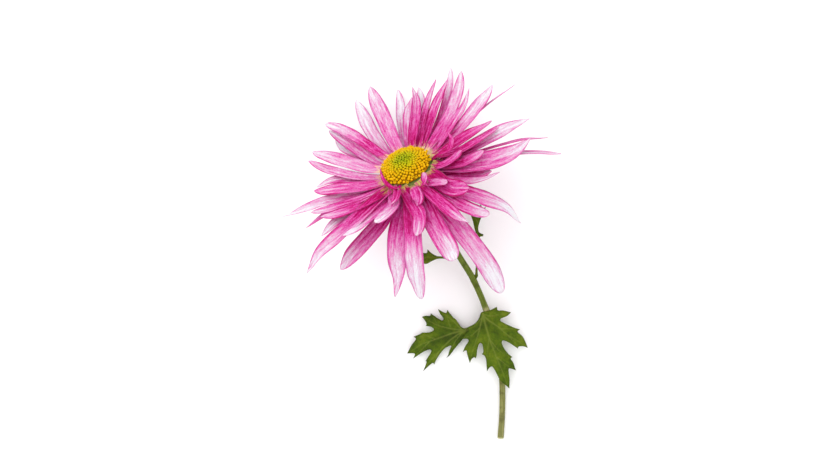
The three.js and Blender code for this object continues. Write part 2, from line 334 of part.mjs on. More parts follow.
function fromManifold(solid) {
  const mesh = solid.getMesh();
  const geometry = new THREE.BufferGeometry();
  const positions = new Float32Array(mesh.numVert * 3);
  for (let i = 0; i < mesh.numVert; i += 1) {
    for (let k = 0; k < 3; k += 1) positions[i * 3 + k] = mesh.vertProperties[i * mesh.numProp + k];
  }
  geometry.setAttribute('position', new THREE.BufferAttribute(positions, 3));
  geometry.setIndex(new THREE.BufferAttribute(Uint32Array.from(mesh.triVerts), 1));
  return facingOut(geometry);
}

const PETAL_PINK = new THREE.Color(0xe48fbd);
const PETAL_DEEP = new THREE.Color(0xd0408c);
const flower = new THREE.Group();
flower.name = 'cut_chrysanthemum';

function add(name, geometry, color, roughness) {
  geometry.applyMatrix4(lay);
  const mesh = new THREE.Mesh(geometry, new THREE.MeshStandardMaterial({ name: `${name}_surface`, color, roughness, metalness: 0 }));
  mesh.name = name;
  flower.add(mesh);
}

add('stem', stemGeometry(), new THREE.Color(0x74802f), 0.6);
add('disc_florets', headLathe(DISC_PROFILE, 28), new THREE.Color(0xd9a90f), 0.75);
add('leaf_right', leafGeometry(LEAF_RIGHT), new THREE.Color(0x4b6216), 0.55);
add('leaf_left', leafGeometry(LEAF_LEFT), new THREE.Color(0x516628), 0.55);
add('upper_leaf_left', leafGeometry(UPPER_LEAF_LEFT), new THREE.Color(0x556a26), 0.55);
add('upper_leaf_right', leafGeometry(UPPER_LEAF_RIGHT), new THREE.Color(0x556a26), 0.55);

const rowOf = new Map(RAY_FLORETS.map((row) => [row[0], row]));
RAY_FLORETS.forEach((row, i) => {
  let geometry = floretGeometry(row);
  const cuts = CUT_CLEAR.filter(([cut]) => cut === row[0]);
  if (cuts.length) {
    let solid = toManifold(geometry);
    for (const [, kept] of cuts) solid = solid.subtract(toManifold(floretGeometry(rowOf.get(kept), TRIM_GROWTH)));
    const pieces = solid.decompose().sort((a, b) => b.volume() - a.volume());
    geometry = fromManifold(pieces[0].simplify(0.02));
  }
  add(row[0], geometry, PETAL_PINK.clone().lerp(PETAL_DEEP, (i * 7 % 10) / 18), 0.55);
});

export default flower;
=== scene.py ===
import math

import bpy
import numpy as np
from mathutils import Matrix, Vector
from mathutils.geometry import delaunay_2d_cdt


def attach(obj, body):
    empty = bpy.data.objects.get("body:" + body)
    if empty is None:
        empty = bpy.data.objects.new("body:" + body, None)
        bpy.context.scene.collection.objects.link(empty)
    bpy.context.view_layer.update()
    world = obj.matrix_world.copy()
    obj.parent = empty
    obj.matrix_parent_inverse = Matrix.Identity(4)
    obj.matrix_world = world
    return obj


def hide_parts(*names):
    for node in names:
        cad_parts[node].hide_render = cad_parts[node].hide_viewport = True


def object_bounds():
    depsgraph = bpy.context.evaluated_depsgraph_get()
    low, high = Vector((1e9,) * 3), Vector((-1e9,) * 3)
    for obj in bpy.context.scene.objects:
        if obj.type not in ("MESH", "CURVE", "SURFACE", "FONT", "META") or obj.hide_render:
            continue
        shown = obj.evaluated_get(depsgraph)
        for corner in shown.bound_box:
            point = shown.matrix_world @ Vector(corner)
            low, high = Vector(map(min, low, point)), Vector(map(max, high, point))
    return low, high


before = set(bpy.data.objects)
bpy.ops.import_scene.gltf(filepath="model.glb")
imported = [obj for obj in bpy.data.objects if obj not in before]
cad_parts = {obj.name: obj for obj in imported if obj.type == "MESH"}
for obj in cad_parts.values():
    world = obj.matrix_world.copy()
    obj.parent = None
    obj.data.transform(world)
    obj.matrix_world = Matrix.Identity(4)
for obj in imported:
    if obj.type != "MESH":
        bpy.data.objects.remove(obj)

START_BOUNDS = [list(map(float, v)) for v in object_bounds()]
rng = np.random.default_rng(20261119)
MM = 0.001

# ---------- the flower's measures, the same as the CAD's (mm, growth frame) ----------
HEAD_CENTRE = np.array([-1.68, 23.2, 0.0])
HEAD_AXIS = np.array([-0.32399, 0.69398, 0.64298])
HEAD_AXIS = HEAD_AXIS / np.linalg.norm(HEAD_AXIS)
E1 = np.array([HEAD_AXIS[1], -HEAD_AXIS[0], 0.0])
E1 = E1 / np.linalg.norm(E1)
E2 = np.cross(HEAD_AXIS, E1)
LAY_R = np.array([0.999992, 0.000022, 0.003983, 0.000022, 0.999937, -0.011260, -0.003983, 0.011260, 0.999929]).reshape(3, 3)
LAY_T = np.array([-4.859, 11.478, 40.933])

# name, midline base to tip, width, roll, twist, tip, trough depth, how pale it looks near the base,
# at the middle and at the tip (its own colour with painted shade measured into it), and how cream and how green the
# foot is
FLORETS = [
    ('ray_floret_01', [[1.1, 29.67, -8.23], [1.08, 35.09, -11.76], [1.49, 40.52, -15.2], [2.25, 46.06, -20.6], [2.4, 51.81, -27.81], [0.83, 57.41, -36.41]], 4.4, -35.0, 0.0, 'p', 0.55, 0.20, 0.40, 0.55, 0.90, 0.00),
    ('ray_floret_02', [[0.28, 28.41, -9.14], [-0.26, 33.15, -12.99], [-0.74, 37.95, -17.23], [-0.89, 42.84, -21.89], [-0.52, 47.79, -27.3], [0.83, 52.67, -33.49]], 4.4, 15.0, 0.0, 'o', 0.35, 0.45, 0.55, 0.55, 0.90, 0.00),
    ('ray_floret_03', [[2.83, 27.48, -8.73], [3.34, 33.23, -13.7], [3.85, 39.06, -19.14], [4.31, 44.99, -25.05], [4.54, 51.02, -31.4], [3.75, 57.1, -38.23]], 4.4, 3.0, 0.0, 'o', 0.16, 0.15, 0.55, 0.80, 0.90, 0.00),
    ('ray_floret_04', [[3.19, 28.58, -7.86], [4.06, 34.86, -11.82], [5.19, 41.2, -16.83], [6.62, 47.6, -22.88], [8.5, 53.96, -28.76], [10.93, 60.23, -35.08]], 4.4, 18.0, 0.0, 'p', 0.5, 0.15, 0.35, 0.50, 0.90, 0.00),
    ('ray_floret_05', [[5.7, 27.01, -6.77], [8.83, 34.12, -11.46], [11.88, 41.47, -18.5], [14.55, 49.09, -25.59], [16.41, 57.11, -33.4], [17.15, 65.46, -41.6]], 4.4, 13.0, 0.0, 'o', 0.3, 0.25, 0.40, 0.75, 0.90, 0.00),
    ('ray_floret_06', [[4.46, 29.49, -6.34], [6.39, 35.62, -11.57], [8.26, 41.82, -16.28], [10.26, 48.04, -20.69], [12.78, 54.12, -25.16], [15.7, 60.12, -30.06]], 4.55, 0.0, 0.0, 'p', 0.35, 0.20, 0.35, 0.45, 0.90, 0.00),
    ('ray_floret_07', [[6.27, 28.84, -4.73], [10.45, 35.02, -9.42], [14.35, 41.47, -14.05], [17.69, 48.3, -18.55], [20.0, 55.6, -22.89], [21.2, 63.18, -26.4]], 5.8, 0.0, 0.0, 'o', 0.16, 0.35, 0.55, 0.70, 0.90, 0.00),
    ('ray_floret_08', [[7.45, 27.04, -4.05], [11.51, 32.18, -6.07], [15.36, 37.49, -7.71], [18.87, 43.17, -11.16], [22.16, 48.9, -15.52], [24.36, 55.9, -21.63]], 4.4, 9.0, 0.0, 'p', 0.35, 0.30, 0.45, 0.55, 0.90, 0.00),
    ('ray_floret_09', [[8.14, 27.27, -2.08], [14.02, 32.35, -5.9], [19.43, 37.87, -7.37], [24.4, 43.79, -8.43], [29.18, 50.04, -11.27], [33.61, 56.83, -16.78]], 6.67, 0.0, 0.0, 'o', 0.3, 0.35, 0.60, 0.70, 0.90, 0.00),
    ('ray_floret_10', [[8.84, 25.69, 1.53], [11.92, 28.01, 4.62], [15.39, 29.69, 6.57], [16.53, 33.39, 4.52], [15.18, 37.16, 0.93]], 2.64, 0.0, 0.0, 'p', 0.5, 0.15, 0.20, 0.40, 0.00, 0.00),
    ('ray_floret_11', [[7.8, 25.75, -5.26], [14.22, 32.64, -9.26], [20.76, 39.48, -12.33], [27.75, 45.74, -13.41], [35.01, 51.36, -10.79], [42.46, 56.22, -5.51]], 4.4, 28.0, 0.0, 'o', 0.16, 0.40, 0.50, 0.60, 0.90, 0.00),
    ('ray_floret_12', [[8.86, 25.7, -0.03], [13.53, 29.02, -0.62], [18.16, 32.36, -0.5], [22.9, 35.59, -0.9], [27.8, 38.58, -1.42], [32.89, 41.31, -2.52]], 6.47, 0.0, 0.0, 'p', 0.22, 0.15, 0.20, 0.45, 0.90, 0.00),
    ('ray_floret_13', [[8.54, 27.05, -0.1], [14.41, 27.75, 2.25], [20.08, 29.42, 3.67], [25.22, 32.35, 4.07], [30.31, 35.49, 3.43], [35.55, 38.54, 1.36]], 4.33, 0.0, 0.0, 'p', 0.4, 0.10, 0.25, 0.40, 0.90, 0.35),
    ('ray_floret_14', [[8.93, 22.77, 1.3], [16.86, 26.82, 0.86], [24.67, 31.14, 1.31], [32.52, 35.42, 1.1], [40.54, 39.33, 1.17], [47.93, 42.3, 1.3]], 6.2, -19.0, 0.0, 'p', 0.16, 0.20, 0.60, 0.85, 0.90, 0.35),
    ('ray_floret_15', [[8.26, 22.67, 4.5], [11.81, 23.16, 6.02], [15.06, 24.59, 7.64], [17.94, 26.75, 7.6], [20.45, 29.39, 6.6]], 3.78, -7.0, 0.0, 'r', 0.4, 0.20, 0.25, 0.35, 0.90, 0.35),
    ('ray_floret_16', [[8.2, 21.53, 4.13], [16.58, 23.16, 4.57], [24.93, 24.45, 7.43], [33.31, 25.94, 7.52], [41.27, 29.05, 6.34], [48.16, 34.23, 4.49]], 8.4, -25.0, 0.0, 'p', 0.16, 0.30, 0.50, 0.70, 0.90, 0.35),
    ('ray_floret_17', [[9.0, 22.33, -0.05], [18.11, 25.68, -0.31], [27.25, 29.02, -0.93], [36.49, 31.88, -0.22], [45.99, 34.08, 0.1], [55.2, 34.56, -0.05]], 4.4, 27.0, 0.0, 'o', 0.16, 0.20, 0.35, 0.45, 0.90, 0.70),
    ('ray_floret_18', [[8.75, 24.21, 3.08], [13.06, 23.18, 4.9], [17.49, 23.34, 6.95], [21.74, 24.53, 7.96], [25.68, 26.57, 8.48], [29.32, 29.13, 8.48]], 4.98, 0.0, 0.0, 'r', 0.4, 0.10, 0.25, 0.40, 0.90, 0.70),
    ('ray_floret_19', [[8.67, 20.8, 1.42], [19.05, 23.76, 2.85], [29.45, 26.63, 3.48], [40.06, 28.24, 3.42], [50.87, 28.78, 2.76], [60.51, 28.0, 1.42]], 4.4, 14.0, 0.0, 'o', 0.16, 0.40, 0.55, 0.60, 0.90, 0.70),
    ('ray_floret_20', [[7.38, 18.5, 3.26], [12.43, 19.06, 4.91], [17.49, 19.57, 5.1], [22.59, 19.62, 4.88], [27.6, 19.91, 6.76], [32.48, 20.99, 9.01]], 5.8, 0.0, 0.0, 'o', 0.16, 0.10, 0.15, 0.45, 0.90, 0.70),
    ('ray_floret_21', [[6.93, 18.79, 4.58], [12.74, 17.88, 7.06], [18.59, 17.22, 8.21], [24.44, 17.13, 9.38], [30.07, 18.29, 12.81], [35.31, 20.4, 17.42]], 4.4, 4.0, 0.0, 'p', 0.3, 0.35, 0.55, 0.60, 0.90, 0.70),
    ('ray_floret_22', [[7.39, 21.13, 5.72], [10.16, 18.6, 8.06], [12.95, 16.12, 11.42], [16.23, 14.52, 13.95], [19.87, 14.27, 16.68], [23.49, 14.29, 19.29]], 7.41, -36.0, 0.0, 'o', 0.28, 0.15, 0.30, 0.35, 0.90, 0.70),
    ('ray_floret_23', [[4.42, 15.11, 12.6], [4.96, 16.18, 14.2], [5.43, 17.58, 15.2], [5.58, 19.07, 15.6], [5.35, 20.49, 15.4]], 2.56, -37.0, 0.0, 'r', 0.3, 0.20, 0.40, 0.50, 0.00, 0.70),
    ('ray_floret_24', [[5.95, 16.23, 7.2], [8.3, 16.05, 10.9], [10.57, 16.21, 13.0], [12.76, 16.42, 14.0], [14.8, 16.58, 14.3]], 4.53, 0.0, 0.0, 'r', 0.6, 0.40, 0.35, 0.50, 0.90, 0.70),
    ('ray_floret_25', [[5.51, 17.39, 5.38], [13.92, 15.23, 9.66], [22.09, 12.54, 12.07], [30.27, 9.85, 12.22], [38.24, 6.42, 9.73], [43.74, 0.4, 5.38]], 7.82, 0.0, 0.0, 'p', 0.16, 0.20, 0.60, 0.95, 0.90, 0.70),
    ('ray_floret_26', [[4.41, 17.31, 6.8], [9.69, 14.24, 9.84], [14.98, 10.76, 13.17], [20.44, 7.59, 15.89], [25.93, 5.34, 16.33], [31.23, 3.81, 16.3]], 6.2, 0.0, 0.0, 'r', 0.16, 0.20, 0.30, 0.70, 0.90, 0.70),
    ('ray_floret_27', [[2.94, 17.11, 7.81], [6.76, 13.45, 11.28], [10.63, 9.9, 15.62], [14.56, 6.48, 18.47], [18.58, 3.2, 20.0], [23.09, 0.59, 19.77]], 5.55, 0.0, 0.0, 'p', 0.16, 0.15, 0.30, 0.60, 0.90, 0.70),
    ('ray_floret_28', [[3.49, 15.95, 5.93], [11.22, 8.17, 10.53], [18.26, -0.18, 13.38], [25.07, -8.66, 13.71], [31.27, -17.45, 11.23], [36.56, -27.02, 5.93]], 8.34, 0.0, 0.0, 'r', 0.16, 0.35, 0.65, 0.90, 0.90, 0.70),
    ('ray_floret_29', [[2.1, 15.94, 7.1], [5.35, 9.79, 10.56], [8.23, 3.17, 13.29], [11.46, -2.84, 15.65], [14.75, -8.61, 16.49], [17.45, -14.11, 15.87]], 8.4, 0.0, 0.0, 'r', 0.16, 0.20, 0.45, 0.75, 0.90, 0.70),
    ('ray_floret_30', [[1.19, 14.69, 9.0], [2.05, 13.54, 11.8], [2.68, 11.78, 13.7], [2.99, 9.73, 14.2], [3.0, 7.53, 13.2]], 5.6, 14.0, 0.0, 'o', -0.32, 0.35, 0.25, 0.30, 0.35, 0.20),
    ('ray_floret_31', [[-3.01, 15.0, 7.09], [-0.74, 11.32, 9.43], [1.53, 7.65, 12.93], [3.47, 3.85, 14.45], [3.56, -0.35, 16.26], [2.75, -4.51, 17.41]], 6.08, 0.0, 0.0, 'r', 0.3, 0.15, 0.25, 0.50, 0.90, 0.70),
    ('ray_floret_32', [[0.02, 15.08, 6.97], [0.41, 6.09, 11.7], [1.19, -2.78, 14.34], [1.61, -11.63, 14.71], [2.62, -20.45, 12.35], [4.37, -29.37, 7.19]], 8.12, 0.0, 0.0, 'r', 0.16, 0.15, 0.70, 0.80, 0.90, 0.70),
    ('ray_floret_33', [[-1.03, 14.12, 5.62], [-3.11, 5.67, 8.87], [-4.68, -2.83, 10.41], [-5.22, -11.45, 10.13], [-4.78, -20.13, 8.44], [-5.65, -28.83, 5.41]], 8.4, 5.0, 0.0, 'p', 0.22, 0.25, 0.60, 0.75, 0.90, 0.70),
    ('ray_floret_34', [[-4.98, 14.87, 6.24], [-4.93, 12.92, 9.42], [-5.21, 11.03, 12.62], [-6.19, 9.41, 13.23], [-7.29, 7.88, 13.35]], 3.64, 0.0, 0.0, 'p', 0.55, 0.20, 0.30, 0.45, 0.00, 0.70),
    ('ray_floret_35', [[-6.81, 15.04, 5.14], [-6.31, 11.43, 8.31], [-6.14, 7.82, 12.14], [-8.17, 5.0, 14.65], [-10.94, 2.78, 16.41], [-13.74, 0.59, 17.02]], 5.4, 3.0, 0.0, 'r', 0.35, 0.35, 0.55, 0.70, 0.30, 0.70),
    ('ray_floret_36', [[-3.39, 13.79, 4.79], [-7.98, 6.45, 6.69], [-12.35, -0.29, 7.64], [-17.7, -6.47, 7.64], [-23.27, -12.4, 6.7], [-27.26, -18.1, 4.79]], 8.4, 13.0, 0.0, 'o', 0.16, 0.25, 0.40, 0.70, 0.90, 0.70),
    ('ray_floret_37', [[-4.48, 14.32, 5.53], [-8.34, 9.87, 7.68], [-12.4, 5.65, 11.17], [-16.73, 1.78, 13.35], [-21.44, -1.63, 14.69], [-26.39, -4.73, 13.81]], 5.39, 0.0, 0.0, 'o', 0.3, 0.25, 0.50, 0.75, 0.40, 0.70),
    ('ray_floret_38', [[-6.58, 14.52, 4.25], [-14.2, 8.27, 7.21], [-21.28, 1.31, 10.2], [-28.69, -5.08, 10.04], [-35.94, -11.68, 8.11], [-40.77, -19.67, 4.25]], 8.4, 2.0, 0.0, 'p', 0.42, 0.15, 0.55, 0.75, 0.90, 0.70),
    ('ray_floret_39', [[-5.89, 13.54, 1.93], [-12.18, 10.47, 3.06], [-18.44, 7.38, 3.67], [-24.65, 4.18, 3.89], [-30.42, 0.26, 4.07], [-35.23, -4.78, 4.31]], 5.58, 0.0, 0.0, 'o', 0.16, 0.25, 0.45, 0.75, 0.90, 0.70),
    ('ray_floret_40', [[-7.39, 14.15, 0.52], [-14.46, 11.44, 1.33], [-21.62, 8.92, 1.02], [-28.76, 6.34, 0.59], [-35.55, 3.0, 0.46], [-41.59, -1.6, 0.29]], 4.4, 0.0, 0.0, 'p', 0.16, 0.20, 0.40, 0.35, 0.90, 0.70),
    ('ray_floret_41', [[-6.89, 14.21, 2.57], [-12.35, 11.33, 4.39], [-17.86, 8.56, 5.34], [-23.5, 6.1, 6.05], [-29.33, 4.1, 6.03], [-35.44, 2.87, 4.09]], 5.61, 0.0, 0.0, 'o', 0.16, 0.15, 0.25, 0.50, 0.90, 0.70),
    ('ray_floret_42', [[-8.51, 15.19, 2.56], [-14.44, 12.36, 2.94], [-20.51, 9.87, 2.84], [-26.79, 7.91, 2.5], [-33.09, 6.01, 2.18], [-39.55, 4.59, 1.19]], 4.92, 0.0, 0.0, 'o', 0.16, 0.35, 0.30, 0.55, 0.90, 0.70),
    ('ray_floret_43', [[-8.86, 15.28, 0.42], [-17.15, 12.37, 0.45], [-25.8, 10.76, -1.4], [-34.47, 9.1, -2.84], [-42.68, 5.99, -2.11], [-50.8, 2.88, 0.07]], 6.15, 0.0, 0.0, 'p', 0.3, 0.40, 0.65, 0.85, 0.90, 0.35),
    ('ray_floret_44', [[-10.34, 16.69, 0.02], [-15.83, 15.48, 0.04], [-21.43, 14.85, -0.72], [-27.09, 14.5, -2.12], [-32.77, 13.89, -4.5], [-38.56, 13.32, -8.62]], 6.63, 0.0, 0.0, 'o', 0.16, 0.35, 0.30, 0.50, 0.90, 0.35),
    ('ray_floret_45', [[-9.6, 16.98, -3.65], [-15.33, 17.59, -6.24], [-21.1, 18.13, -9.18], [-26.91, 18.46, -11.85], [-32.67, 17.67, -14.14], [-37.85, 15.06, -15.98]], 4.52, 0.0, 0.0, 'o', 0.16, 0.45, 0.40, 0.75, 0.90, 0.00),
    ('ray_floret_46', [[-3.37, 15.28, 6.9], [-5.75, 14.32, 7.3], [-8.5, 15.46, 5.9], [-10.84, 18.45, 3.3], [-12.09, 22.81, -0.4]], 1.68, 0.0, 0.0, 'p', 0.4, 0.15, 0.20, 0.35, 0.00, 0.00),
    ('ray_floret_47', [[-10.48, 18.43, -3.8], [-16.8, 18.72, -6.12], [-23.13, 19.58, -9.43], [-29.42, 21.17, -13.88], [-35.71, 23.2, -19.84], [-41.8, 26.15, -26.84]], 4.41, 0.0, 0.0, 'o', 0.3, 0.50, 0.55, 0.60, 0.90, 0.00),
    ('ray_floret_48', [[-10.85, 21.61, -5.55], [-16.73, 22.5, -8.95], [-22.46, 24.34, -12.86], [-28.25, 26.23, -17.29], [-34.15, 28.03, -22.25], [-40.19, 29.68, -27.71]], 6.3, 0.0, 0.0, 'o', 0.16, 0.55, 0.60, 0.65, 0.90, 0.00),
    ('ray_floret_49', [[-7.61, 20.99, -8.85], [-12.37, 23.41, -13.02], [-17.19, 25.87, -17.65], [-22.04, 28.41, -22.74], [-26.85, 31.17, -28.29], [-30.92, 35.07, -34.29]], 4.4, -8.0, 0.0, 'o', 0.16, 0.25, 0.50, 0.80, 0.90, 0.00),
    ('ray_floret_50', [[-8.8, 23.09, -7.98], [-13.99, 25.55, -12.7], [-18.89, 28.67, -17.81], [-23.65, 32.16, -23.29], [-28.48, 35.7, -29.23], [-33.67, 38.86, -35.65]], 5.16, 0.0, 0.0, 'o', 0.3, 0.50, 0.45, 0.60, 0.90, 0.00),
    ('ray_floret_51', [[-7.95, 25.68, -8.48], [-12.98, 29.25, -13.64], [-18.09, 32.86, -19.16], [-23.31, 36.46, -25.02], [-28.93, 39.55, -31.13], [-34.98, 41.85, -37.48]], 4.85, 0.0, 0.0, 'r', 0.35, 0.25, 0.50, 0.70, 0.90, 0.00),
    ('ray_floret_52', [[-5.35, 24.79, -9.94], [-9.79, 29.15, -14.85], [-13.45, 34.32, -20.47], [-16.81, 39.81, -26.64], [-19.66, 45.71, -33.39], [-22.38, 51.86, -41.6]], 5.61, 0.0, 0.0, 'o', 0.16, 0.60, 0.70, 0.90, 0.90, 0.00),
    ('ray_floret_53', [[-3.93, 28.3, -9.29], [-6.56, 33.84, -14.42], [-9.06, 39.52, -19.81], [-11.52, 45.32, -25.49], [-14.28, 51.22, -31.55], [-16.67, 57.3, -38.05]], 6.48, 0.0, 0.0, 'o', 0.16, 0.50, 0.55, 0.70, 0.90, 0.00),
    ('ray_floret_54', [[-0.95, 26.92, -10.02], [-1.93, 32.64, -16.13], [-2.89, 38.46, -22.46], [-3.57, 44.39, -28.79], [-4.04, 50.4, -34.95], [-5.02, 56.44, -41.2]], 4.4, 10.0, 0.0, 'o', 0.16, 0.60, 0.75, 0.80, 0.90, 0.00),
]
STEM = np.array([
    [-1.37, 22.54, -0.61, 9.5],
    [-0.66, 21.01, -2.03, 9.0],
    [0.02, 19.56, -3.38, 8.5],
    [0.22, 19.14, -3.76, 8.5],
    [0.31, 18.93, -3.95, 9.2],
    [0.54, 18.45, -4.4, 9.1],
    [0.96, 17.54, -5.24, 8.2],
    [1.48, 16.43, -6.27, 6.3],
    [1.9, 15.53, -7.1, 3.9],
    [2.13, 15.05, -7.56, 2.3],
    [2.49, 14.21, -8.33, 1.5],
    [3.29, 12.07, -10.28, 1.3],
    [4.35, 10.02, -12.19, 1.24],
    [6.18, 7.49, -14.69, 1.2],
    [9.2, 3.88, -18.41, 1.2],
    [12.22, 0.08, -21.94, 1.2],
    [15.0, -4.17, -25.13, 1.2],
    [17.67, -8.66, -28.07, 1.2],
    [21.15, -14.45, -31.33, 1.2],
    [25.01, -20.48, -33.53, 1.24],
    [26.37, -23.06, -34.23, 1.3],
    [28.04, -26.59, -35.06, 1.2],
    [29.18, -29.16, -35.59, 1.2],
    [30.26, -31.76, -36.06, 1.2],
    [30.97, -33.6, -36.36, 1.25],
    [31.66, -35.47, -36.61, 1.36],
    [32.59, -38.3, -36.9, 1.27],
    [34.19, -44.08, -37.21, 1.23],
    [36.45, -53.2, -37.61, 1.22],
    [38.12, -62.44, -37.95, 1.21],
    [38.49, -71.84, -38.12, 1.2],
    [38.26, -81.24, -38.36, 1.2],
    [37.9, -86.23, -38.45, 1.24],
    [37.69, -89.22, -38.5, 1.28],
])
